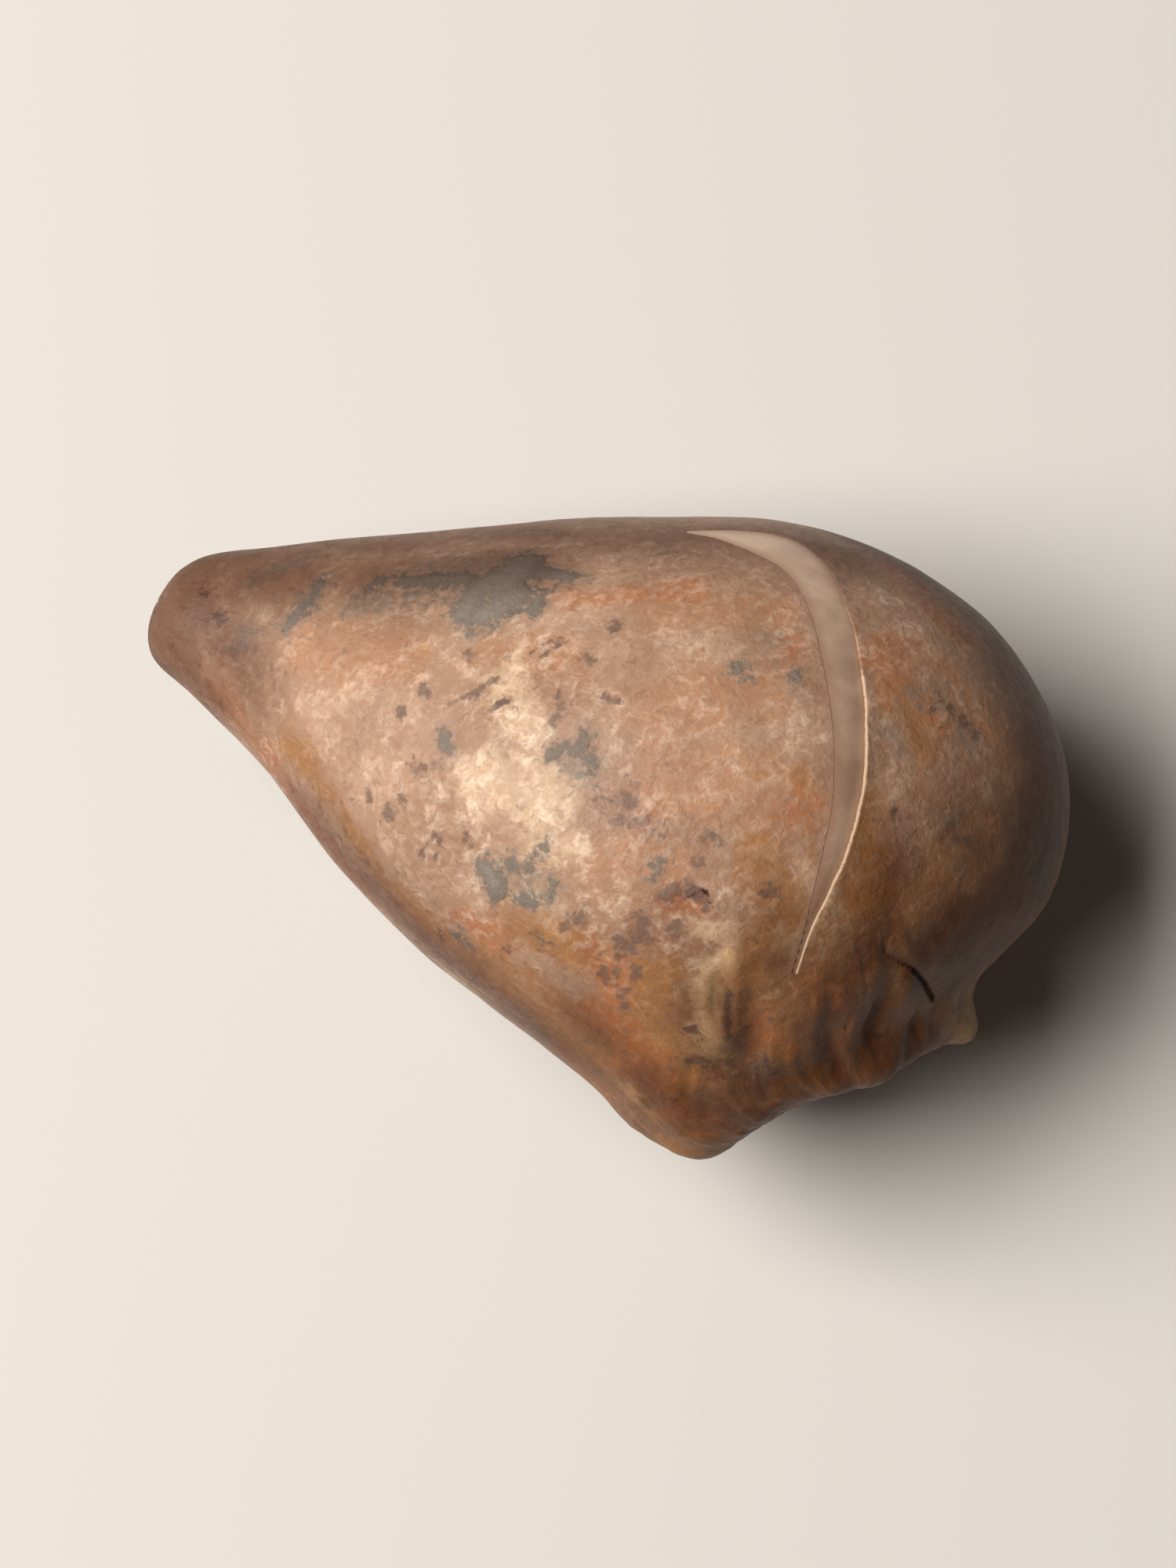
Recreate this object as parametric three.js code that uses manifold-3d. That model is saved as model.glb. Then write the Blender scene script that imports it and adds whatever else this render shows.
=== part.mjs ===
// A tulip bulb out of the ground, lying on its side: the fleshy scales, the corky basal plate that
// they grow from, with its ring of root stubs, and the papery tunic round both, which has split.
// Millimetres, +Z up. The bulb lies along X with its nose towards -X. The origin is on the small
// flat spot that it rests on, straight below its centre of mass.
import * as THREE from "three";
import { mergeVertices } from "three/addons/utils/BufferGeometryUtils.js";
import Module from "manifold-3d";

const wasm = await Module();
wasm.setup();

// ---- Driving dimensions ----

// The bulb's side profile, as chords across it from its flat side to its belly: [flat x, flat y,
// belly x, belly y], in order from the basal end to the nose. One chord is one station of the form.
const CHORDS = [
  [12.3, -16.5, 19.6, -9.8], // inside the basal ring
  [9.8, -19.4, 21.5, -7.7], // basal ring
  [6.5, -19.6, 21.6, -4.3],
  [3.1, -18.1, 24.1, 2.2],
  [-0.7, -16.7, 22.0, 9.9],
  [-4.8, -15.5, 14.8, 15.9],
  [-9.7, -13.9, 4.4, 17.6],
  [-15.4, -11.1, -6.0, 14.7],
  [-21.6, -7.1, -16.6, 10.1],
  [-27.3, -4.3, -25.6, 5.9],
  [-30.7, -2.7, -30.1, 3.5], // shoulder of the nose
];
const BASE_CENTRE = [15.4, -12.5]; // in the hollow of the basal ring
const NOSE_TIP = [-31.4, 0.3];
const BASE_THICKNESS = 0.84; // a section's height as a share of its chord, at the base
const NOSE_THICKNESS = 1; // and at the nose, where it is round
const FLAT_SIDE_WIDTH = 0.1; // how much fuller a section is towards its flat side

// How it lies: rolled about X through the centre of mass, which is this high over the surface.
const CENTRE_OF_MASS = [1.3, -0.3];
const ROLL = THREE.MathUtils.degToRad(9.4);
const LIE_HEIGHT = 16.5;

const TUNIC_THICKNESS = 0.65;
const SEAT_GAP = 0.3; // from the tunic to what it wraps, and from the plate to the scales

const PLEATS = 22; // round the basal ring
const PLEAT_HEIGHT = 0.2;
const PLEATS_END = 4.8; // the station where the pleats have run out
const BEAK_STATION = 2.1; // the torn corner of the tunic that stands out of the ring
const BEAK_HEIGHT = 1.1;

// The larger folds, each along a line from one place on the skin to another: [station, turn in
// degrees, station, turn, height, half-width]. A height under 0 is a crease.
const FOLDS = [
  [3.9, 134, 2.2, 146, 0.35, 1.4],
  [2.6, 166, 1.3, 160, 0.45, 2.2],
  [3.9, 150, 3.5, 146, 0.25, 0.8],
  [4.9, 105, 3.9, 116, 0.35, 0.7],
  [4.4, 105, 3.2, 112, -0.25, 0.8],
  [2.4, 106, 1.2, 104, -0.6, 2.0],
  [4.2, 90, 1.6, 76, -0.35, 0.7],
  [2.8, 68, 1.2, 64, 0.45, 2.0],
  [4.1, 75, 2.0, 62, -0.35, 0.7],
  [3.9, 69, 2.9, 54, 0.3, 0.8],
  [2.9, 51, 1.6, 54, -0.35, 0.7],
  [2.9, 40, 2.1, 3, 0.35, 0.8],
  [3.6, -22, 1.5, -26, -0.4, 0.9],
  [3.4, -44, 1.4, -42, 0.35, 1.3],
  [4.4, -66, 1.5, -60, -0.45, 0.8],
  [3.2, -84, 1.3, -82, 0.4, 1.6],
  [4.0, -104, 1.5, -102, -0.4, 0.8],
  [3.4, -126, 1.4, -122, 0.35, 1.4],
  [3.8, -150, 1.6, -146, -0.4, 0.9],
];

// The split: [station, turn in degrees from the belly, width], from near the base to the crest.
const SPLIT = [
  [4.4, 96, 0.3],
  [4.74, 91, 0.4],
  [5.03, 85.1, 1.0],
  [5.33, 78, 1.4],
  [5.64, 70.8, 1.8],
  [5.97, 63.2, 2.1],
  [6.3, 54.4, 2.3],
  [6.63, 43.7, 2.5],
  [6.9, 35.2, 3.0],
  [7.14, 30.4, 3.4],
  [7.38, 28.4, 2.2],
  [7.65, 27.2, 0.4],
];
const SPLIT_STEPS = 40;

// The basal plate and the opening that the tunic leaves round it, as shares of the basal ring.
const OPENING_SHARE = 0.7;
const OPENING_RAG = 0.05; // how far its torn edge wanders, as a share of its radius
const PLATE_SHARE = 0.79;
const PLATE_CROWN_DEPTH = 0.75; // depths below the ring
const PLATE_RIM_DEPTH = 1.35;
const PLATE_BACK_DEPTH = 2.6;
const ROOT_RING_SHARE = 0.54;
const ROOT_STUBS = 22;
const ROOT_STUB_RADIUS = 0.42;
const ROOT_STUB_HEIGHT = 1.1;
const ROOT_STUB_SINK = 0.5;

// ---- How finely the solids are faceted ----

const SKIN_TURNS = 120;
const SKIN_RINGS = 34;
const FOLD_STEPS = 8;
const LINING_TURNS = 48;
const LINING_RINGS = 20;
const PLATE_SIDES = 32;

// ---- The form ----

const STATIONS = CHORDS.length + 1; // from the base centre, 0, to the tip of the nose

/** The closed side profile: along the belly from the base to the nose, and back along the flat side. */
const profile = new THREE.CatmullRomCurve3(
  [
    BASE_CENTRE,
    ...CHORDS.map(([, , x, y]) => [x, y]),
    NOSE_TIP,
    ...CHORDS.map(([x, y]) => [x, y]).reverse(),
  ].map(([x, y]) => new THREE.Vector3(x, y, 0)),
  true,
  "catmullrom",
);

/** A point of the smooth skin: turn runs from the belly, 0, over the top to the flat side, PI. */
function skinPoint(station, turn) {
  const share = station / STATIONS;
  const belly = profile.getPoint(share / 2);
  const flat = profile.getPoint(1 - share / 2);
  const halfChord = belly.clone().sub(flat).multiplyScalar(0.5);
  const thickness = THREE.MathUtils.lerp(BASE_THICKNESS, NOSE_THICKNESS, share);
  const height = halfChord.length() * thickness;
  return belly
    .add(flat)
    .multiplyScalar(0.5)
    .addScaledVector(halfChord, Math.cos(turn))
    .setZ(height * Math.sin(turn) * (1 - FLAT_SIDE_WIDTH * Math.cos(turn)));
}

/** The skin's outward normal, from its slopes along the stations and round the turn. */
function skinNormal(station, turn) {
  const step = 0.01;
  const at = THREE.MathUtils.clamp(station, 2 * step, STATIONS - 2 * step);
  const along = skinPoint(at + step, turn).sub(skinPoint(at - step, turn));
  const round = skinPoint(at, turn + step).sub(skinPoint(at, turn - step));
  return along.cross(round).normalize();
}

/** A bell-shaped bump of height 1 over a distance, with the given half-width. */
const bump = (distance, width) => Math.exp(-((distance / width) ** 2));

/** The folds as lines of points on the smooth skin, each fading towards its ends. */
const foldLines = FOLDS.map(([station, turn, endStation, endTurn, height, width]) => {
  const points = [];
  for (let i = 1; i < FOLD_STEPS; i++) {
    const share = i / FOLD_STEPS;
    const turnThere = THREE.MathUtils.degToRad(THREE.MathUtils.lerp(turn, endTurn, share));
    const place = skinPoint(THREE.MathUtils.lerp(station, endStation, share), turnThere);
    points.push({ place, strength: Math.sin(Math.PI * share) ** 0.6 });
  }
  return { points, height, width };
});

/** How far the folds raise the skin at a point of it. */
function foldsAt(skin) {
  let total = 0;
  for (const { points, height, width } of foldLines) {
    const shares = points.map(({ place, strength }) => strength * bump(skin.distanceTo(place), width));
    total += height * Math.max(...shares);
  }
  return total;
}

/** How far the tunic stands out of the smooth skin: its folds and pleats, and its torn beak. */
function relief(station, turn) {
  const inRing = THREE.MathUtils.smoothstep(station, 0.8, 2);
  const fade = inRing * (1 - THREE.MathUtils.smoothstep(station, 2.4, PLEATS_END));
  const wave = Math.cos(PLEATS * turn + 1.1 * Math.sin(3 * turn) + 0.8 * Math.sin(5 * turn + 1));
  const uneven = 0.65 + 0.35 * Math.sin(4 * turn + 0.7);
  const fromBelly = Math.abs(THREE.MathUtils.euclideanModulo(turn + Math.PI, 2 * Math.PI) - Math.PI);
  const beakSlope = station > BEAK_STATION ? 0.6 : 0.3; // gentle towards the nose, steep to the base
  const beak = bump(station - BEAK_STATION, beakSlope) * bump(fromBelly, 0.18);
  const pleats = PLEAT_HEIGHT * fade * uneven * (0.4 + 0.6 * wave);
  return pleats + BEAK_HEIGHT * beak + foldsAt(skinPoint(station, turn));
}

/** A closed body: a sphere whose rings are moved to the stations, each point out of the skin by a height. */
function bodyGeometry(turns, rings, heightAt) {
  const geometry = new THREE.SphereGeometry(1, turns, rings);
  const { position, uv } = geometry.attributes;
  for (let i = 0; i < position.count; i++) {
    const share = 1 - uv.getY(i);
    const atPole = share < 1e-6 || share > 1 - 1e-6;
    const station = STATIONS * share;
    const turn = atPole ? 0 : 2 * Math.PI * uv.getX(i);
    const point = skinPoint(station, turn).addScaledVector(
      skinNormal(station, turn),
      heightAt(station, turn),
    );
    position.setXYZ(i, point.x, point.y, point.z);
  }
  return geometry;
}

// ---- Solids ----

/** A closed geometry as a manifold solid. */
function solidFrom(geometry) {
  const bare = geometry.clone();
  bare.deleteAttribute("normal");
  bare.deleteAttribute("uv");
  const merged = mergeVertices(bare);
  return new wasm.Manifold(
    new wasm.Mesh({
      numProp: 3,
      vertProperties: merged.attributes.position.array,
      triVerts: new Uint32Array(merged.index.array),
    }),
  );
}

/** The reverse: a manifold solid as a geometry. */
function geometryFrom(solid) {
  const { vertProperties, triVerts } = solid.getMesh();
  const geometry = new THREE.BufferGeometry();
  geometry.setAttribute("position", new THREE.BufferAttribute(vertProperties, 3));
  geometry.setIndex(new THREE.BufferAttribute(triVerts, 1));
  geometry.computeVertexNormals();
  return geometry;
}

/** Turns a geometry from the profile's frame into the frame in which the bulb lies. */
function laid(geometry) {
  const [x, y] = CENTRE_OF_MASS;
  return geometry.translate(-x, -y, 0).rotateX(ROLL).translate(0, 0, LIE_HEIGHT);
}

/** The solid with everything below a height taken off. */
function cutFlat(solid, height) {
  const size = 100;
  const below = new THREE.BoxGeometry(size, size, size).translate(0, 0, height - size / 2);
  return solid.subtract(solidFrom(below));
}

// The basal ring's own frame: X along its chord, Y across it, Z out of the bulb.
const [RING_FLAT, RING_BELLY] = [
  new THREE.Vector3(CHORDS[1][0], CHORDS[1][1], 0),
  new THREE.Vector3(CHORDS[1][2], CHORDS[1][3], 0),
];
const RING_RADIUS = RING_FLAT.distanceTo(RING_BELLY) / 2;
const RING_HEIGHT = RING_RADIUS * BASE_THICKNESS;
const chordWay = RING_BELLY.clone().sub(RING_FLAT).normalize();
const sideWay = new THREE.Vector3(0, 0, 1);
const ringFrame = new THREE.Matrix4()
  .makeBasis(chordWay, sideWay, chordWay.clone().cross(sideWay))
  .setPosition(RING_BELLY.clone().add(RING_FLAT).multiplyScalar(0.5));

/** Turns a geometry from the basal ring's frame into the frame in which the bulb lies. */
const onRing = (geometry) => laid(geometry.applyMatrix4(ringFrame));

// ---- The tunic ----

/** What the split takes out of the tunic: a box drawn along its path, as wide as it is there. */
function splitCutter() {
  const path = new THREE.CatmullRomCurve3(
    SPLIT.map(([station, turn, width]) => new THREE.Vector3(station, THREE.MathUtils.degToRad(turn), width)),
  );
  const reach = 2 * TUNIC_THICKNESS; // past both faces of the tunic
  const geometry = new THREE.BoxGeometry(1, 1, 1, 1, 1, SPLIT_STEPS);
  const { position } = geometry.attributes;
  for (let i = 0; i < position.count; i++) {
    const share = position.getZ(i) + 0.5;
    const at = path.getPoint(share);
    const ahead = path.getPoint(Math.min(share + 0.01, 1));
    const behind = path.getPoint(Math.max(share - 0.01, 0));
    const normal = skinNormal(at.x, at.y);
    const side = skinPoint(ahead.x, ahead.y).sub(skinPoint(behind.x, behind.y)).cross(normal).normalize();
    const point = skinPoint(at.x, at.y)
      .addScaledVector(normal, 2 * reach * position.getY(i))
      .addScaledVector(side, -at.z * position.getX(i));
    position.setXYZ(i, point.x, point.y, point.z);
  }
  return laid(geometry);
}

/** What the torn opening round the basal plate takes out of the tunic. */
function openingCutter() {
  const edge = [];
  for (let i = 0; i < PLATE_SIDES; i++) {
    const turn = (2 * Math.PI * i) / PLATE_SIDES;
    const share = OPENING_SHARE * (1 + OPENING_RAG * (Math.sin(5 * turn + 0.6) + Math.sin(9 * turn)));
    edge.push(new THREE.Vector2(RING_RADIUS * share * Math.cos(turn), RING_HEIGHT * share * Math.sin(turn)));
  }
  const depth = 2 * PLATE_BACK_DEPTH;
  const geometry = new THREE.ExtrudeGeometry(new THREE.Shape(edge), { depth, bevelEnabled: false });
  return onRing(geometry.translate(0, 0, -depth / 2));
}

function tunicSolid() {
  const outside = solidFrom(laid(bodyGeometry(SKIN_TURNS, SKIN_RINGS, relief)));
  const lining = solidFrom(laid(bodyGeometry(LINING_TURNS, LINING_RINGS, () => -TUNIC_THICKNESS)));
  return cutFlat(outside, 0)
    .subtract(cutFlat(lining, TUNIC_THICKNESS))
    .subtract(solidFrom(splitCutter()))
    .subtract(solidFrom(openingCutter()));
}

// ---- The scales and the basal plate ----

function scalesSolid() {
  const inset = TUNIC_THICKNESS + SEAT_GAP;
  const whole = solidFrom(laid(bodyGeometry(LINING_TURNS, LINING_RINGS, () => -inset)));
  const size = 4 * RING_RADIUS;
  const seat = new THREE.BoxGeometry(size, size, size);
  seat.translate(0, 0, size / 2 - PLATE_BACK_DEPTH - SEAT_GAP);
  return cutFlat(whole, inset).subtract(solidFrom(onRing(seat)));
}

/** The depth of the plate's outer face below the ring, at a share of the plate's radius. */
const plateFaceDepth = (share) => THREE.MathUtils.lerp(PLATE_CROWN_DEPTH, PLATE_RIM_DEPTH, share ** 3);

/** A number from 0 to 1 that is always the same for the same index. */
const scatter = (index) => THREE.MathUtils.euclideanModulo(Math.sin(index * 12.9898) * 43758.5453, 1);

function plateSolid() {
  const radius = PLATE_SHARE * RING_RADIUS;
  const flatten = RING_HEIGHT / RING_RADIUS;
  const face = [1, 0.85, 0.65, 0.45, 0.25, 0].map(
    (share) => new THREE.Vector2(share * radius, -plateFaceDepth(share)),
  );
  const back = [
    new THREE.Vector2(0, -PLATE_BACK_DEPTH),
    new THREE.Vector2(0.93 * radius, -PLATE_BACK_DEPTH),
    new THREE.Vector2(radius, -PLATE_BACK_DEPTH + 0.4),
  ];
  const disc = new THREE.LatheGeometry([...back, ...face], PLATE_SIDES).rotateX(Math.PI / 2);
  let plate = solidFrom(onRing(disc.scale(1, flatten, 1)));
  const ringShare = ROOT_RING_SHARE / PLATE_SHARE;
  for (let i = 0; i < ROOT_STUBS; i++) {
    const turn = (2 * Math.PI * (i + 0.3 * scatter(i))) / ROOT_STUBS;
    const height = ROOT_STUB_HEIGHT * (0.7 + 0.3 * scatter(i + 50));
    const share = ringShare * (1 + 0.08 * (scatter(i + 100) - 0.5));
    const stub = new THREE.CylinderGeometry(
      0.85 * ROOT_STUB_RADIUS,
      1.1 * ROOT_STUB_RADIUS,
      height + ROOT_STUB_SINK,
      7,
    ).rotateX(Math.PI / 2);
    stub.translate(0, 0, (height - ROOT_STUB_SINK) / 2);
    stub.rotateY(0.25 * Math.cos(turn)).rotateX(-0.25 * Math.sin(turn)); // leaning outwards
    stub.translate(
      share * radius * Math.cos(turn),
      share * radius * flatten * Math.sin(turn),
      -plateFaceDepth(share),
    );
    plate = plate.add(solidFrom(onRing(stub)));
  }
  return plate;
}

// ---- The bulb ----

function node(name, solid, color, roughness) {
  const material = new THREE.MeshStandardMaterial({ color, roughness, metalness: 0 });
  const mesh = new THREE.Mesh(geometryFrom(solid), material);
  mesh.name = name;
  return mesh;
}

const bulb = new THREE.Group();
bulb.add(
  node("tunic", tunicSolid(), 0xb07a52, 0.45),
  node("fleshy_scales", scalesSolid(), 0xe6d3b4, 0.5),
  node("basal_plate", plateSolid(), 0xa8865a, 0.85),
);

export default bulb;
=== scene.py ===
"""Dresses a dormant tulip bulb that lies on its side.

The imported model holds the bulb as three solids: the papery tunic, the fleshy scales that it wraps and
the corky basal plate. Each of them gets a finer mesh here, made from the same form, and a finish.
Lengths in the classes are millimetres, as on the bulb, and meshes are written in metres.
"""

import itertools
import logging
import math
from dataclasses import dataclass, field
from enum import Enum
from functools import cached_property
from typing import Any, Callable, Iterable, Sequence

import bpy
import numpy as np
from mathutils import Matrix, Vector
from mathutils.kdtree import KDTree


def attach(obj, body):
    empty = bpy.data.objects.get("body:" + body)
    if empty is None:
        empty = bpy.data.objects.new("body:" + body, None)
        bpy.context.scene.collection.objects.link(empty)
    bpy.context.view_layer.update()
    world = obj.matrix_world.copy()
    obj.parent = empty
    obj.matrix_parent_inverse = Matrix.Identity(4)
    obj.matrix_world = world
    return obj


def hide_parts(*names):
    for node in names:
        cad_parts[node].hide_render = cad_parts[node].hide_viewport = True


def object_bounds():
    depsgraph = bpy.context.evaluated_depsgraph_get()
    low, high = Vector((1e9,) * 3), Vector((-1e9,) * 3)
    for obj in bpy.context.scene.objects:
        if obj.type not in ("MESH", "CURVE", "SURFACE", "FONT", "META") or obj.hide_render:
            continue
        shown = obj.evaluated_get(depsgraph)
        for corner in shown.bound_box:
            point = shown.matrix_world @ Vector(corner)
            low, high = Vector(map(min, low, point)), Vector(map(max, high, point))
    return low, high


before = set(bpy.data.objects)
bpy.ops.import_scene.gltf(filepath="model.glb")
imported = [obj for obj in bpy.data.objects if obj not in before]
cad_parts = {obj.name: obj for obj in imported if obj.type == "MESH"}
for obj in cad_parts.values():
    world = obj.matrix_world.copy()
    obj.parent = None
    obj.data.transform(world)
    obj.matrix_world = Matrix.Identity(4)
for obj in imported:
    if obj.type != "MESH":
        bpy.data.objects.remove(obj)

logging.basicConfig(level=logging.INFO, format="%(name)s: %(message)s")
log = logging.getLogger("tulip_bulb")

Array = np.ndarray
Face = tuple[int, ...]  # the numbers of its points
Triple = tuple[float, float, float]
MILLIMETRE = 0.001
BODY = "root"
CAD_BOX = [list(corner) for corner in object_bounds()]
FAR = 99.0  # stands for a distance that is too great to matter
EDGE_CHANGE = 3.0  # added to the distance from an edge where it is of the other kind


class Field(Enum):
    """Values that a mesh carries at its points, for its finish to read."""

    GRAIN = "grain"  # a place on the unrolled skin: two directions round the bulb, one along it
    STATION = "station"
    FOLD = "fold"  # over 0 on the back of a fold, under 0 in a crease
    TORN = "torn"  # millimetres to the nearest crisp torn edge
    WORN = "worn"  # millimetres to the soft edge of the split
    # Millimetres inside the edge of a mark, and under 0 outside it:
    CLAY = "clay"  # dried on the skin
    DUST = "dust"  # a thin film of it
    SPOT = "spot"  # brown
    LINE = "line"  # scratches, and painted shade lines along creases and beside a ridge
    CREASE = "crease"  # a crack, or a crease too deep for light
    PALE_STREAK_AND_HIGHLIGHT = "pale_streak_and_highlight"  # pale along the backs of folds and on the beak: partly paler skin, partly a painted highlight
    CREAM_AND_HIGHLIGHT = "cream_and_highlight"  # cream patches, partly a painted highlight on the crown; this and the next four are broad tints
    ROSE = "rose"
    GOLD = "gold"
    ORANGE = "orange"
    RUST = "rust"
    DARK_SKIN_AND_SHADE = "dark_skin_and_shade"  # where the skin is darker: painted shade at the nose, the rim and the base, with some of the skin's own darker brown


class Slot(Enum):
    """The material slots."""

    TUNIC = "tunic"
    FLESH = "flesh"
    CORK = "cork"


# ---------------------------------------------------------------------------------------------
# Helpers on arrays
# ---------------------------------------------------------------------------------------------


def ease(low: float, high: float, value: Array) -> Array:
    """A smooth step from 0 at low to 1 at high; low may be the larger."""
    share = np.clip((np.asarray(value, float) - low) / (high - low), 0.0, 1.0)
    return share * share * (3.0 - 2.0 * share)


def bell(distance: Array, width: Array | float) -> Array:
    """A bump of height 1 over a distance, with the given half-width."""
    return np.exp(-((np.asarray(distance) / width) ** 2))


def unit(vectors: Array) -> Array:
    """The vectors at length 1."""
    return vectors / np.maximum(np.linalg.norm(vectors, axis=-1, keepdims=True), 1e-12)


def cubic(before: Array, start: Array, end: Array, after: Array, part: Array) -> Array:
    """Points of a smooth curve between start and end, from its four nearest knots."""
    out, into = 0.5 * (end - before), 0.5 * (after - start)
    square = -3 * start + 3 * end - 2 * out - into
    return start + part * out + part**2 * square + part**3 * (2 * start - 2 * end + out + into)


def tree_of(points: Array) -> KDTree:
    """The points in a tree, which finds the row of the nearest one."""
    tree = KDTree(len(points))
    for index, point in enumerate(points):
        tree.insert(point, index)
    tree.balance()
    return tree


def nearest_of(known: Array, wanted: Array) -> tuple[Array, Array]:
    """The row of the nearest known point for each wanted one, and its distance."""
    tree = tree_of(known)
    found = [tree.find(point) for point in wanted]
    return np.array([index for _, index, _ in found]), np.array([away for _, _, away in found])


def circle_of(count: int) -> Array:
    """Angles at even steps round a circle."""
    return 2 * math.pi * np.arange(count) / count


def band(low: int, high: int, count: int) -> list[Face]:
    """The faces between two rings of count points, low and high being their first points."""
    after = [(k + 1) % count for k in range(count)]
    return [(low + k, high + k, high + after[k], low + after[k]) for k in range(count)]


class Noise:
    """Smooth random values in space, always the same for the same seed.

    A constant added to the points reads another part of it.
    """

    SLOPES = 256  # how many there are to draw from, a power of 2
    GAIN = 1.7  # brings the values to about -1 to 1
    SHIFT = 17.3  # between one layer and the next, so that they differ

    def __init__(self, seed: int) -> None:
        """Draws the noise's slopes.

        Args:
            seed: the number that the draws start from.
        """
        draws = np.random.default_rng(seed)
        self.order = np.tile(draws.permutation(self.SLOPES), 3)
        self.slopes = unit(draws.normal(size=(self.SLOPES, 3)))

    def at(self, points: Array, size: float) -> Array:
        """One layer of gradient noise.

        Args:
            points: places, one to a row.
            size: the width of its lumps.

        Returns:
            A value from about -1 to 1 for each place.
        """
        cell = points / size
        low = np.floor(cell).astype(int)
        part = cell - low
        blend = part**3 * (part * (part * 6.0 - 15.0) + 10.0)
        low &= self.SLOPES - 1
        total = np.zeros(len(points))
        for corner in itertools.product((0, 1), repeat=3):
            key = low + corner
            index = self.order[self.order[self.order[key[:, 0]] + key[:, 1]] + key[:, 2]]
            pull = np.einsum("ij,ij->i", self.slopes[index], part - corner)
            total += np.prod(np.where(corner, blend, 1.0 - blend), axis=1) * pull
        return self.GAIN * total

    def layered(self, points: Array, size: float, layers: int = 3) -> Array:
        """Layers of noise, each half as wide and half as high as the one before."""
        return sum(self.at(points + self.SHIFT * k, size / 2**k) / 2**k for k in range(layers))


# ---------------------------------------------------------------------------------------------
# The bulb's form
# ---------------------------------------------------------------------------------------------


@dataclass(frozen=True)
class Skin:
    """Places on the smooth skin, one to a row, in the frame in which the bulb lies."""

    station: Array
    turn: Array
    point: Array
    normal: Array
    grain: Array


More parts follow.
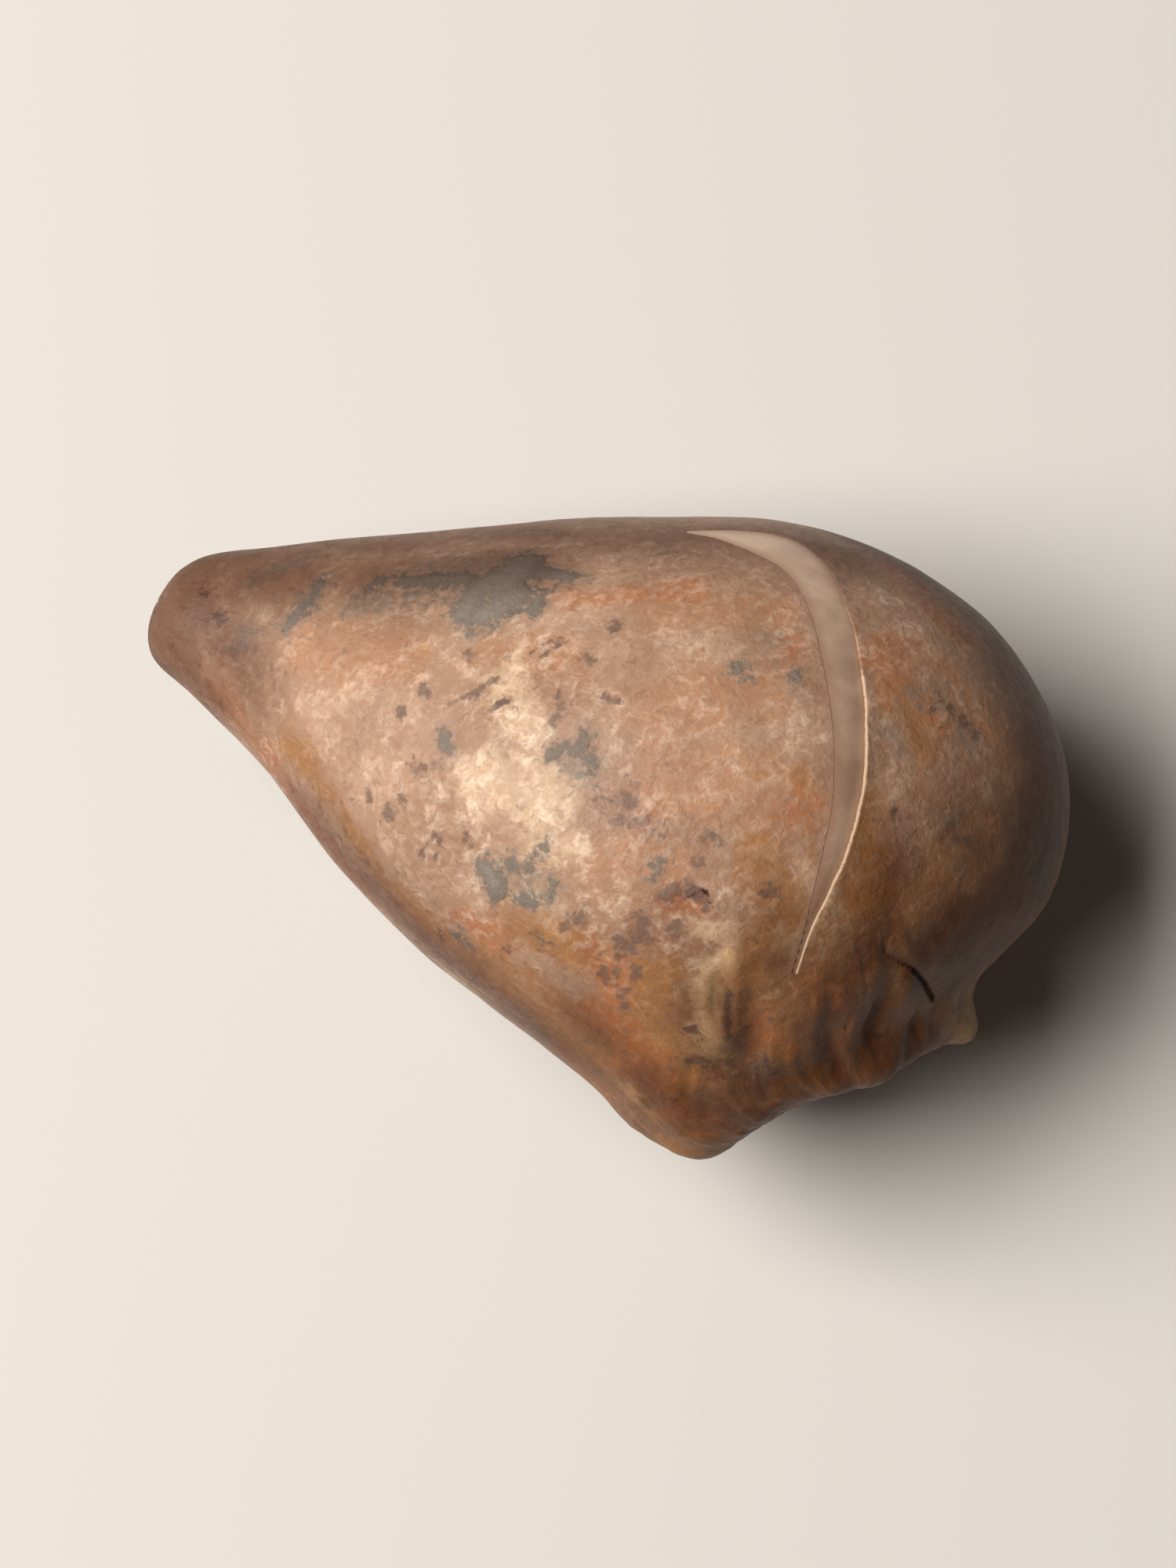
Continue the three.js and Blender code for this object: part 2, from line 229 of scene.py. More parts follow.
@dataclass(frozen=True)
class BulbForm:
    """The smooth form: chords across the side profile, each widened into a section.

    A chord is [flat x, flat y, belly x, belly y] and stands for one station, in order from the
    basal end, and turn runs round a section from the belly, over the top, to the flat side at pi.
    """

    chords: tuple[tuple[float, float, float, float], ...] = (
        (12.3, -16.5, 19.6, -9.8),
        (9.8, -19.4, 21.5, -7.7),
        (6.5, -19.6, 21.6, -4.3),
        (3.1, -18.1, 24.1, 2.2),
        (-0.7, -16.7, 22.0, 9.9),
        (-4.8, -15.5, 14.8, 15.9),
        (-9.7, -13.9, 4.4, 17.6),
        (-15.4, -11.1, -6.0, 14.7),
        (-21.6, -7.1, -16.6, 10.1),
        (-27.3, -4.3, -25.6, 5.9),
        (-30.7, -2.7, -30.1, 3.5),
    )
    base_centre: tuple[float, float] = (15.4, -12.5)
    nose_tip: tuple[float, float] = (-31.4, 0.3)
    base_thickness: float = 0.84
    nose_thickness: float = 1.0
    flat_side_width: float = 0.1
    centre_of_mass: tuple[float, float] = (1.3, -0.3)
    roll: float = math.radians(9.4)
    lie_height: float = 16.5
    grain_radius: float = 17.5
    unevenness: tuple[tuple[float, float], ...] = ((0.12, 9.0), (0.05, 4.0))  # heights and widths
    slope_step: float = 0.01  # over which slopes are taken, in stations and in radians
    reach_samples: int = 400
    seed: int = 11

    @cached_property
    def noise(self) -> Noise:
        """The noise that the pieces share."""
        return Noise(self.seed)

    def uneven(self, points: Array) -> Array:
        """How far the bulb's slow unevenness lifts the skin at points."""
        return sum(height * self.noise.at(points, width) for height, width in self.unevenness)

    @property
    def stations(self) -> int:
        """The number of the last station, at the tip of the nose."""
        return len(self.chords) + 1

    @property
    def loop(self) -> Array:
        """The profile's points, along the belly to the nose and back along the flat side."""
        chords = np.array(self.chords)
        return np.vstack([self.base_centre, chords[:, 2:], self.nose_tip, chords[::-1, :2]])

    def profile(self, share: Array) -> Array:
        """Points of the closed profile at shares of the way round it."""
        loop = self.loop
        place = np.asarray(share, float) * len(loop)
        index = np.floor(place).astype(int)
        knots = (loop[(index + k) % len(loop)] for k in (-1, 0, 1, 2))
        return cubic(*knots, (place - index)[..., None])

    def laid(self, points: Array) -> Array:
        """Points of the profile's frame in the frame in which the bulb lies."""
        x = points[..., 0] - self.centre_of_mass[0]
        y = points[..., 1] - self.centre_of_mass[1]
        z = points[..., 2]
        cos, sin = math.cos(self.roll), math.sin(self.roll)
        return np.stack([x, y * cos - z * sin, y * sin + z * cos + self.lie_height], -1)

    def place(self, station: Array, turn: Array) -> Array:
        """Points of the smooth skin, as the bulb lies."""
        share = np.clip(np.asarray(station, float) / self.stations, 0.0, 1.0)
        turn = np.asarray(turn, float)
        belly, flat = self.profile(share / 2), self.profile(1 - share / 2)
        half = (belly - flat) / 2
        thickness = self.base_thickness + (self.nose_thickness - self.base_thickness) * share
        height = np.linalg.norm(half, axis=-1) * thickness
        middle = (belly + flat) / 2 + half * np.cos(turn)[..., None]
        rise = height * np.sin(turn) * (1 - self.flat_side_width * np.cos(turn))
        return self.laid(np.concatenate([middle, rise[..., None]], -1))

    def normal(self, station: Array, turn: Array) -> Array:
        """The outward normals there."""
        step = self.slope_step
        at = np.clip(station, 2 * step, self.stations - 2 * step)
        along = self.place(at + step, turn) - self.place(at - step, turn)
        round_it = self.place(at, turn + step) - self.place(at, turn - step)
        return unit(np.cross(along, round_it))

    def reach(self, station: Array) -> Array:
        """Millimetres along the skin from the base's centre, over the top of the bulb."""
        stations = np.linspace(0.0, self.stations, self.reach_samples)
        track = self.place(stations, np.full(self.reach_samples, math.pi / 2))
        steps = np.linalg.norm(np.diff(track, axis=0), axis=1)
        return np.interp(station, stations, np.concatenate([[0.0], np.cumsum(steps)]))

    def skin(self, station: Array, turn: Array) -> Skin:
        """All that is known of some places on the skin."""
        radius = self.grain_radius
        grain = [radius * np.cos(turn), radius * np.sin(turn), self.reach(station)]
        point, normal = self.place(station, turn), self.normal(station, turn)
        return Skin(station, turn, point, normal, np.stack(grain, -1))


@dataclass(frozen=True)
class RingFrame:
    """The basal ring's own frame: x along its chord, y across it, z out of the bulb."""

    form: BulbForm
    ring: int = 1  # the chord that is the ring's

    @property
    def chord(self) -> tuple[Array, Array]:
        """The chord's ends, in the profile's frame."""
        flat_x, flat_y, belly_x, belly_y = self.form.chords[self.ring]
        return np.array([flat_x, flat_y, 0.0]), np.array([belly_x, belly_y, 0.0])

    @property
    def radius(self) -> float:
        """Half the ring's chord."""
        flat, belly = self.chord
        return float(np.linalg.norm(belly - flat)) / 2

    @property
    def height(self) -> float:
        """Half the ring's width across its chord."""
        return self.radius * self.form.base_thickness

    @property
    def axes(self) -> Array:
        """The frame's axes as rows, as the bulb lies."""
        flat, belly = self.chord
        along = unit(self.form.laid(belly) - self.form.laid(flat))
        across = unit(self.form.laid(np.array([0.0, 0.0, 1.0])) - self.form.laid(np.zeros(3)))
        return np.array([along, across, np.cross(along, across)])

    @property
    def centre(self) -> Array:
        """The middle of the ring, as the bulb lies."""
        flat, belly = self.chord
        return self.form.laid((flat + belly) / 2)

    def outwards(self, points: Array) -> Array:
        """Points of the ring's frame, as the bulb lies."""
        return points @ self.axes + self.centre

    def inwards(self, points: Array) -> Array:
        """Points as the bulb lies, in the ring's frame."""
        return (points - self.centre) @ self.axes.T


# ---------------------------------------------------------------------------------------------
# Meshes
# ---------------------------------------------------------------------------------------------


@dataclass(frozen=True)
class SkinGrid:
    """Rings of points round the form, closed at the base and at the nose.

    Attributes:
        rings: the rings between the two ends.
        columns: the points of one ring.
        finer_top: how much closer the columns stand on top of the bulb than under it.
        passes: how often the columns' turns are worked out again to settle that.
        samples: the stations at which the way along the skin is measured.
    """

    rings: int
    columns: int
    finer_top: float = 0.28
    passes: int = 4
    samples: int = 600

    def skin(self, form: BulbForm) -> Skin:
        """The places of the grid's points: the base's centre, the rings, the tip of the nose."""
        even = turn = circle_of(self.columns)
        for _ in range(self.passes):
            turn = even + self.finer_top * np.cos(turn)
        stations = np.linspace(0.0, form.stations, self.samples)
        reach = form.reach(stations)
        ring = np.interp(np.linspace(0.0, reach[-1], self.rings + 2)[1:-1], reach, stations)
        station = np.repeat(ring, self.columns)
        station = np.concatenate([[0.0], station, [float(form.stations)]])
        turn = np.concatenate([[0.0], np.tile(turn, self.rings), [0.0]])
        return form.skin(station, turn)

    def faces(self) -> list[Face]:
        """The faces between the points, seen from outside."""
        columns, last = self.columns, 1 + self.rings * self.columns
        after = [(k + 1) % columns for k in range(columns)]
        made: list[Face] = [(0, 1 + after[k], 1 + k) for k in range(columns)]
        for ring in range(self.rings - 1):
            low = 1 + ring * columns
            made += [(a, d, c, b) for a, b, c, d in band(low, low + columns, columns)]
        top = last - columns
        made += [(top + k, top + after[k], last) for k in range(columns)]
        return made


class Shape:
    """A mesh being made: points in millimetres, faces, and values at the points."""

    def __init__(self, name: str, points: Array, faces: Sequence[Sequence[int]]) -> None:
        """Makes the object.

        Args:
            name: the piece's name.
            points: its points, one to a row.
            faces: its faces, as rows of point numbers.
        """
        mesh = bpy.data.meshes.new(name)
        mesh.from_pydata((points * MILLIMETRE).tolist(), [], [tuple(face) for face in faces])
        mesh.update()
        self.object = bpy.data.objects.new(name, mesh)
        bpy.context.scene.collection.objects.link(self.object)

    @property
    def points(self) -> Array:
        """The mesh's points, in millimetres."""
        mesh = self.object.data
        flat = np.empty(3 * len(mesh.vertices), np.float32)
        mesh.vertices.foreach_get("co", flat)
        return flat.reshape(-1, 3).astype(float) / MILLIMETRE

    def carry(self, name: Field, values: Array) -> None:
        """Stores values at the points.

        Args:
            name: the field that the finish reads.
            values: one number, or one vector, for each point.
        """
        vector = values.ndim == 2
        kind = "FLOAT_VECTOR" if vector else "FLOAT"
        layer = self.object.data.attributes.new(name.value, kind, "POINT")
        layer.data.foreach_set("vector" if vector else "value", values.astype(np.float32).ravel())

    def cut(self, *tools: "Shape") -> None:
        """Takes other closed shapes out of this one, and deletes them."""
        for tool in tools:
            step = self.object.modifiers.new("cut", "BOOLEAN")
            step.operation = "DIFFERENCE"
            step.solver = "MANIFOLD"
            step.object = tool.object
        graph = bpy.context.evaluated_depsgraph_get()
        cut = bpy.data.meshes.new_from_object(self.object.evaluated_get(graph))
        self.object.modifiers.clear()
        old = self.object.data
        self.object.data = cut
        bpy.data.meshes.remove(old)
        cut.name = self.object.name
        for tool in tools:
            mesh = tool.object.data
            bpy.data.objects.remove(tool.object)
            bpy.data.meshes.remove(mesh)

    def smooth(self, crease: float = 50.0) -> None:
        """Shades the faces smoothly, except across edges sharper than a number of degrees."""
        mesh = self.object.data
        mesh.shade_smooth()
        mesh.set_sharp_from_angle(angle=math.radians(crease))

    def finish(self, material: bpy.types.Material, slot: Slot, *nodes: str) -> bpy.types.Object:
        """Dresses the piece and sets it in its node's place."""
        self.object.data.materials.clear()
        self.object.data.materials.append(material)
        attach(self.object, BODY)
        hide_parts(*nodes)
        return self.object


# ---------------------------------------------------------------------------------------------
# What lies on the skin
# ---------------------------------------------------------------------------------------------

Place = tuple[float, float]  # a station and a turn in degrees


def track_of(form: BulbForm, places: Iterable[Place]) -> Array:
    """Places as points of the smooth skin."""
    table = np.array(list(places))
    return form.place(table[:, 0], np.radians(table[:, 1]))


def beside(track: Array, points: Array, within: float) -> tuple[Array, Array]:
    """Where points lie beside a line of straight pieces.

    Args:
        track: the line's knots.
        points: the points.
        within: how far from the line the distance is worked out; it is this farther away.

    Returns:
        The distance to the line, and the share of the line's pieces passed at the nearest place.
    """
    nearest, share = np.full(len(points), within), np.zeros(len(points))
    for index, (start, end) in enumerate(zip(track, track[1:] if len(track) > 1 else track)):
        way = end - start
        length = max(float(way @ way), 1e-9)
        reach = math.sqrt(length) / 2 + within
        rows = np.flatnonzero(np.linalg.norm(points - (start + end) / 2, axis=1) < reach)
        part = np.clip((points[rows] - start) @ way / length, 0.0, 1.0)
        away = np.linalg.norm(points[rows] - start - part[:, None] * way, axis=1)
        closer = away < nearest[rows]
        nearest[rows[closer]] = away[closer]
        share[rows[closer]] = (index + part[closer]) / max(len(track) - 1, 1)
    return nearest, share


@dataclass(frozen=True)
class Stroke:
    """A mark drawn along a line of places, or at one place."""

    half_width: float
    places: tuple[Place, ...]

    def depth(self, form: BulbForm, points: Array, farthest: float) -> Array:
        """Millimetres inside the mark's edge, and under 0 outside it.

        Args:
            form: the bulb's form.
            points: places near the skin.
            farthest: how far outside it the distance is worked out.
        """
        within = self.half_width + farthest
        return self.half_width - beside(track_of(form, self.places), points, within)[0]


@dataclass(frozen=True)
class Marks:
    """Marks of one kind."""

    strokes: tuple[Stroke, ...]
    farthest: float = 4.0

    def depth(self, form: BulbForm, points: Array) -> Array:
        """Millimetres inside the nearest mark's edge, and under 0 outside."""
        most = np.full(len(points), -self.farthest)
        for stroke in self.strokes:
            most = np.maximum(most, stroke.depth(form, points, self.farthest))
        return most


def marks(*rows: tuple[Any, ...]) -> Marks:
    """Marks from rows, each a half-width and then the places that the mark runs through."""
    return Marks(tuple(Stroke(row[0], tuple(row[1:])) for row in rows))


# A stroke is its half-width, then the places that it runs through.
MARKS: dict[Field, Marks] = {
    Field.CLAY: marks(
        # the large cake, with its tails towards the nose and the base
        (1.45, (8.34, 50), (8.38, 57)), (1.1, (8.22, 62), (8.31, 69)), (0.95, (8.46, 59), (8.43, 70)),
        (0.5, (8.30, 72), (8.31, 75)), (0.65, (8.60, 56), (8.93, 59)), (0.55, (8.20, 52), (8.03, 53)),
        (0.5, (8.10, 60), (8.06, 66)), (0.4, (9.06, 57), (9.12, 62)),
        # the stripe behind the nose
        (0.4, (9.46, 62), (9.45, 68)), (0.3, (9.45, 70), (9.45, 77)), (0.45, (9.45, 80), (9.46, 85)),
        # crumbs on the crown
        (0.42, (7.95, 104), (7.86, 107)), (0.38, (7.22, 99), (7.14, 96), (7.06, 95)),
        (0.36, (7.12, 92), (7.05, 96)), (0.42, (7.02, 95), (6.92, 97)), (0.34, (6.68, 67), (6.61, 68)),
        (0.2, (6.42, 62), (6.38, 65)), (0.36, (5.99, 105), (5.90, 108)),
        # the ring-shaped crust
        (0.8, (6.95, 127), (6.80, 129)), (0.36, (6.86, 123), (6.70, 121)),
        (0.4, (6.70, 117), (6.73, 115)), (0.34, (6.60, 129), (6.45, 127)),
        (0.3, (6.42, 123), (6.44, 121)), (0.3, (6.72, 147)),
        # underneath and on the back
        (1.0, (6.40, -63), (6.20, -58)), (0.8, (6.30, -56), (5.90, -53)),
        (0.6, (6.60, -58), (6.80, -55)), (0.4, (6.10, -64), (5.90, -66), (5.84, -71)),
        (0.7, (6.84, -74), (6.70, -78)), (0.4, (6.5, -75)), (0.6, (8.30, -118), (8.50, -113)),
        (0.4, (8.36, -122), (8.10, -125)), (0.3, (8.60, -120)), (0.4, (7.20, -150), (7.36, -156)),
        (0.3, (7.16, -157)), (0.5, (5.20, -20), (5.05, -26)), (0.4, (4.66, -104), (4.52, -107)),
        (0.4, (9.60, -40), (9.50, -52)), (0.5, (4.10, -160)), (0.35, (5.60, -140), (5.50, -134)),
    ),
    Field.DUST: marks(
        # on the right side
        (0.3, (5.84, 50), (5.83, 48)), (0.28, (5.82, 46), (5.80, 43)), (0.2, (5.77, 51), (5.75, 49)),
        (0.25, (5.74, 60), (5.72, 58)), (0.25, (5.66, 59), (5.52, 60)), (0.25, (5.0, 56), (4.97, 57)),
        (0.3, (4.84, 57), (4.76, 54)), (0.3, (4.60, 57)), (0.28, (4.42, 36), (4.28, 34)),
        (0.3, (4.28, 64), (4.16, 66)), (0.3, (3.92, 43)), (0.2, (5.42, 46), (5.40, 44)),
        # on top, from the base to the nose
        (0.55, (6.68, 58)), (1.0, (8.97, 68), (9.10, 72)), (0.6, (9.76, 97), (9.73, 104)),
        (0.5, (9.98, 63), (9.90, 54), (9.78, 46), (9.68, 42)), (0.7, (3.38, 105)),
        (0.9, (6.90, 127), (6.66, 125), (6.50, 124)), (0.6, (9.45, 60), (9.45, 88)),
        (2.0, (8.80, 58), (8.36, 52), (8.35, 66)), (0.7, (7.10, 97), (6.92, 99)),
        # underneath and on the back
        (2.2, (6.40, -62)), (1.2, (7.80, -120)), (2.0, (5.00, -165)), (1.6, (4.40, -60)),
        (1.6, (9.40, -150)), (1.4, (5.60, 4)), (1.8, (8.60, -20)), (1.5, (10.6, -80)),
    ),
    Field.SPOT: marks(
        (0.35, (7.95, 115)), (0.4, (8.12, 130)), (0.45, (7.93, 130)), (0.3, (7.90, 123)),
        (0.35, (7.27, 123)), (0.3, (7.76, 91)), (0.3, (7.41, 88), (7.38, 91)), (0.35, (7.52, 76)),
        (0.35, (7.54, 66)), (0.45, (6.07, 124)), (0.4, (6.56, 101), (6.50, 99)), (0.4, (6.32, 101)),
        (0.35, (6.24, 101)), (0.4, (6.47, 103)), (0.3, (5.79, 101)), (0.45, (5.69, 109), (5.66, 105)),
        (0.3, (5.55, 104), (5.42, 104)), (0.4, (5.22, 94)), (0.35, (5.66, 116)),
        (0.35, (5.59, 122), (5.50, 118)), (0.3, (6.08, 127)), (0.3, (5.21, 67)),
        (0.2, (5.70, 48), (5.66, 46)), (0.16, (5.44, 129), (5.30, 131)),
        (0.16, (5.42, 127), (5.20, 130)), (0.16, (5.28, 124), (5.12, 127)),
        (0.16, (5.52, 125), (5.44, 127)), (0.2, (5.60, 119), (5.50, 121)),
        (0.2, (5.10, 130), (5.00, 132)), (0.3, (6.26, 142)), (0.3, (6.18, 133), (6.10, 134)),
        (0.35, (6.74, 148)), (0.25, (6.89, 151)), (0.25, (5.42, 113), (5.40, 111)),
        (0.35, (5.68, 116)), (0.25, (5.50, 122)), (0.2, (4.95, 119)),
        (0.1, (4.06, 128), (3.87, 122), (3.66, 114)), (0.25, (4.30, 121)), (0.3, (3.30, 102)),
        (0.25, (5.63, 46)), (0.25, (5.47, 43)), (0.7, (4.45, 26), (4.28, 27)), (0.25, (5.50, 44)),
        (0.4, (10.08, 91)), (0.35, (10.45, 75)), (0.3, (6.60, 96)), (0.25, (6.70, 103)),
        (0.3, (7.15, 84)), (0.35, (6.20, 133)), (0.3, (8.30, 96)), (0.35, (8.36, 103)),
        (0.35, (8.22, 82)), (0.3, (5.90, 96)), (0.35, (9.20, -60)), (0.45, (7.60, -40)),
        (0.35, (7.3, -48)), (0.45, (5.90, -100)), (0.35, (5.60, -94)), (0.5, (8.80, 175)),
        (0.4, (6.80, 170)), (0.4, (6.30, -170)),
    ),
    # scratches, and painted shade lines along creases and beside a ridge
    Field.LINE: marks(
        (0.04, (7.79, 72), (7.87, 79)), (0.02, (7.72, 73), (7.79, 79)), (0.16, (7.93, 87), (7.98, 92)),
        (0.0, (8.00, 92), (8.08, 97)), (0.1, (7.72, 90), (7.80, 94)), (0.06, (7.51, 127), (7.49, 134)),
        (0.04, (7.44, 126), (7.36, 134)), (-0.02, (4.20, 102), (4.06, 107), (3.95, 112)),
        (-0.04, (4.08, 101), (3.84, 111)), (0.12, (4.55, 110), (4.30, 112), (4.05, 114)),
        (0.06, (3.68, 74), (3.2, 69), (2.4, 63)), (0.06, (3.2, 53), (2.7, 49), (2.03, 44)),
        (0.0, (3.1, 38), (2.4, 20)), (0.02, (4.35, 82), (3.9, 80), (3.4, 76)),
        (0.08, (5.62, 106), (5.62, 104)), (0.06, (3.4, -30), (2.8, -28)),
        (0.08, (4.6, -66), (3.6, -64), (2.6, -62)), (0.06, (3.6, -104), (2.7, -103)),
        (0.08, (4.0, -150), (3.0, -148)), (0.06, (6.4, -20), (6.9, -28)),
    ),
    Field.CREASE: marks(
        (-0.04, (4.31, 76), (4.12, 75), (3.93, 70)), (0.03, (3.93, 70), (3.79, 66), (3.47, 57)),
        (0.07, (3.47, 57), (3.03, 43)), (0.0, (5.57, 106), (5.56, 103), (5.38, 104)),
        (-0.07, (4.20, 91), (3.50, 90)), (-0.06, (3.40, 81), (2.90, 77)),
        (-0.06, (4.10, 77), (3.36, 71)), (-0.06, (3.47, 60), (2.87, 48)),
    ),
    # pale streaks on ridges, the beak and a bump: partly paler skin, partly a painted highlight
    Field.PALE_STREAK_AND_HIGHLIGHT: marks(
        (0.1, (4.89, 105), (4.89, 108), (4.85, 112)), (0.4, (4.85, 112), (4.69, 115), (4.47, 116)),
        (0.25, (4.47, 116), (4.22, 117), (3.89, 117)), (0.3, (3.64, 148), (3.87, 147)),
        (0.1, (2.15, 28), (2.15, 12)), (-0.02, (4.35, 98), (4.35, 100), (4.27, 104)),
        (0.12, (4.03, 63), (3.69, 59), (3.30, 52)), (0.2, (2.70, 31), (2.30, 14)),
        (0.1, (3.90, 71), (3.30, 63)), (0.0, (3.87, 79), (3.35, 74)), (0.05, (3.10, 84), (2.70, 83)),
    ),
    # cream patches; those on the crown are partly a painted highlight
    Field.CREAM_AND_HIGHLIGHT: marks(
        (1.8, (7.45, 110), (7.00, 106)), (1.2, (7.60, 93), (7.90, 85)),
        (0.9, (6.85, 116), (6.60, 112)), (0.8, (6.55, 128), (6.30, 124)),
        (0.6, (5.05, 104), (4.90, 106), (4.65, 112)), (0.8, (4.65, 113), (4.35, 118), (4.08, 118)),
        (0.5, (4.40, 131), (4.20, 126)), (0.6, (3.88, 150), (3.66, 147)),
        (0.6, (5.2, 107), (5.0, 101)), (1.0, (5.05, 88), (4.85, 96)),
        (0.6, (7.50, -104), (6.80, -90), (6.20, -96)), (0.8, (6.20, 168), (6.90, 172)),
        (0.4, (4.30, -120), (3.80, -112)), (0.8, (6.20, -28)), (0.8, (8.6, -60), (8.2, -80)),
        (0.3, (3.9, -40), (3.5, -46)), (0.8, (2.9, 40), (2.3, 10)),
    ),
    Field.ROSE: marks(
        (2.2, (6.45, 92), (5.95, 84)), (1.8, (6.90, 80), (6.50, 70)), (1.4, (6.30, 112), (5.90, 104)),
        (1.6, (8.60, 88), (9.20, 96)), (1.2, (7.60, 78), (8.10, 80)), (1.2, (5.90, 40), (5.10, 36)),
        (1.6, (4.70, 50), (4.50, 66)), (1.2, (7.40, 60), (6.80, 52)), (2.0, (6.60, -20), (7.40, -34)),
        (1.8, (5.60, -90), (6.00, -120)), (1.6, (8.00, 178)),
    ),
    Field.GOLD: marks(
        (0.9, (8.90, 134), (8.20, 142), (7.40, 152), (6.80, 152)), (1.3, (5.50, 92), (5.05, 93)),
        (2.2, (6.3, 150), (5.64, 149), (4.99, 152), (4.6, 148)), (1.4, (5.0, 138), (4.7, 135)),
        (1.0, (4.90, 100), (4.60, 106)), (0.9, (4.40, 127), (3.80, 130)),
        (0.7, (3.80, 150), (3.50, 146)), (1.4, (6.40, 134), (5.80, 130)),
        (1.2, (5.45, 73), (4.80, 78)), (1.0, (5.90, 51), (5.55, 55)), (0.7, (3.60, 68), (3.00, 58)),
        (0.7, (3.10, 74), (2.50, 70)), (0.6, (3.00, 40), (2.30, 22)), (1.4, (3.20, 96), (2.60, 92)),
        (1.2, (2.60, 140), (2.40, 165)), (1.4, (3.20, -40), (2.60, -36)),
        (1.8, (3.40, -100), (2.60, -96)), (1.5, (3.30, -150), (2.60, -146)), (1.6, (4.80, -135)),
        # the last stroke on the next line is painted shade, a band beside the split's soft edge
        (1.4, (4.10, -15)), (1.6, (9.0, -110)), (0.1, (5.85, 76), (5.3, 84)),
        (1.2, (5.1, 122), (4.7, 130), (4.3, 138)),
    ),
    Field.ORANGE: marks(
        (0.7, (7.62, 56), (7.30, 54)), (0.3, (7.95, 60), (7.60, 57)), (0.5, (6.52, 59), (6.46, 61)),
        (0.6, (6.17, 50), (5.98, 50)), (0.35, (5.72, 50), (5.58, 48)), (0.6, (5.60, 80), (5.66, 85)),
        (0.5, (5.62, 109), (5.52, 106)), (0.8, (5.45, 127), (5.10, 132)),
        (1.4, (4.95, 138), (4.20, 136)), (1.0, (9.70, 141), (9.20, 151), (8.40, 161), (7.80, 164)),
        (0.8, (6.85, 142), (6.30, 140)), (1.0, (4.17, 107), (3.75, 104)),
        (0.8, (3.3, 140), (2.8, 130)), (1.2, (4.02, 32), (3.86, 42)), (0.5, (2.9, 55), (2.3, 44)),
        (0.8, (6.20, 45), (6.05, 46)), (0.5, (5.94, 53)), (0.7, (4.26, 92), (3.9, 90)),
        (1.2, (4.70, 160), (4.00, 172)), (0.8, (6.40, -110), (6.90, -124)),
        (1.0, (7.30, -30), (6.80, -8)), (0.7, (5.20, -140), (4.60, -150)),
        (1.0, (8.60, 172), (9.20, -170)), (0.9, (5.0, -40), (4.5, -20)),
        (0.8, (9.9, -30), (10.3, -60)), (1.2, (6.5, 20), (6.0, 28)), (0.8, (4.3, 148), (3.9, 140)),
    ),
    Field.RUST: marks(
        (0.5, (5.62, 118), (5.35, 116)), (0.3, (5.75, 128), (5.55, 131)),
        (0.35, (5.70, 45), (5.50, 44)), (0.3, (5.50, 50), (5.45, 47)), (0.6, (4.04, 30), (4.30, 26)),
        (0.5, (3.75, 112), (3.50, 118)), (0.8, (6.54, 100), (6.30, 102)), (0.4, (7.40, 88)),
        (1.0, (3.3, 80), (2.7, 76)), (0.5, (4.45, 108), (4.1, 110), (3.9, 113)),
        (0.7, (5.66, 110), (5.60, 105)), (0.9, (3.9, 93), (3.4, 88)), (0.7, (4.1, 80), (3.7, 77)),
        (1.2, (5.9, -40), (6.1, -30)), (1.0, (7.5, -140)),
    ),
    # painted shade at the nose, along the rim and at the base, with some of the skin's own darker brown
    Field.DARK_SKIN_AND_SHADE: marks(
        (3.6, (11.6, 0), (11.3, 60), (11.3, 130), (11.4, 180)), (2.6, (11.3, -60), (11.3, -130)),
        (3.2, (10.9, 50), (10.7, 100)), (1.8, (10.1, 62), (9.6, 54)),
        (1.8, (10.6, 30), (9.6, 32), (8.8, 30)), (2.2, (9.3, 54), (8.3, 46)),
        (2.0, (8.8, 28), (7.6, 32), (6.8, 24)), (1.5, (10.4, 130), (9.9, 150)),
        (1.3, (9.9, 108), (9.6, 118)), (0.8, (5.2, 144), (4.6, 142)), (1.0, (4.6, 114), (3.8, 118)),
        (0.6, (2.7, 130), (2.5, 118)), (1.6, (3.9, 140), (3.2, 130)), (0.4, (4.9, 58), (4.6, 50)),
        (3.6, (6.6, 6), (5.4, 14), (4.3, 28), (3.6, 46)), (2.0, (4.2, 60), (3.4, 66)),
        (1.6, (3.0, 104), (2.6, 70), (2.3, 40)), (1.0, (2.9, 124), (2.4, 110)),
        (0.9, (4.90, 96), (4.68, 98)), (1.4, (4.9, 72), (4.3, 78)), (0.8, (4.1, 86), (3.7, 84)),
        (1.6, (8.4, 158), (7.4, 158), (6.4, 158), (5.0, 160)),
    ),
}


@dataclass(frozen=True)
class Fold:
    """A fold along a line of places on the skin, which fades towards its ends."""

    height: float  # under 0 for a crease
    half_width: float
    places: tuple[Place, ...]
    steps: int = 8  # between two places

    def over(self, form: BulbForm, points: Array) -> Array:
        """The fold's height at points."""
        knots = np.array(self.places)
        index = np.arange(len(knots))
        row = np.linspace(0.0, index[-1], self.steps * int(index[-1]) + 1)
        track = track_of(form, zip(*(np.interp(row, index, knots[:, k]) for k in (0, 1))))
        away, share = beside(track, points, 3 * self.half_width)
        return self.height * np.sin(math.pi * share) ** 0.6 * bell(away, self.half_width)


def folds(*rows: tuple[Any, ...]) -> tuple[Fold, ...]:
    """Folds from rows, each a height, a half-width and then the places that it runs through."""
    return tuple(Fold(row[0], row[1], tuple(row[2:])) for row in rows)


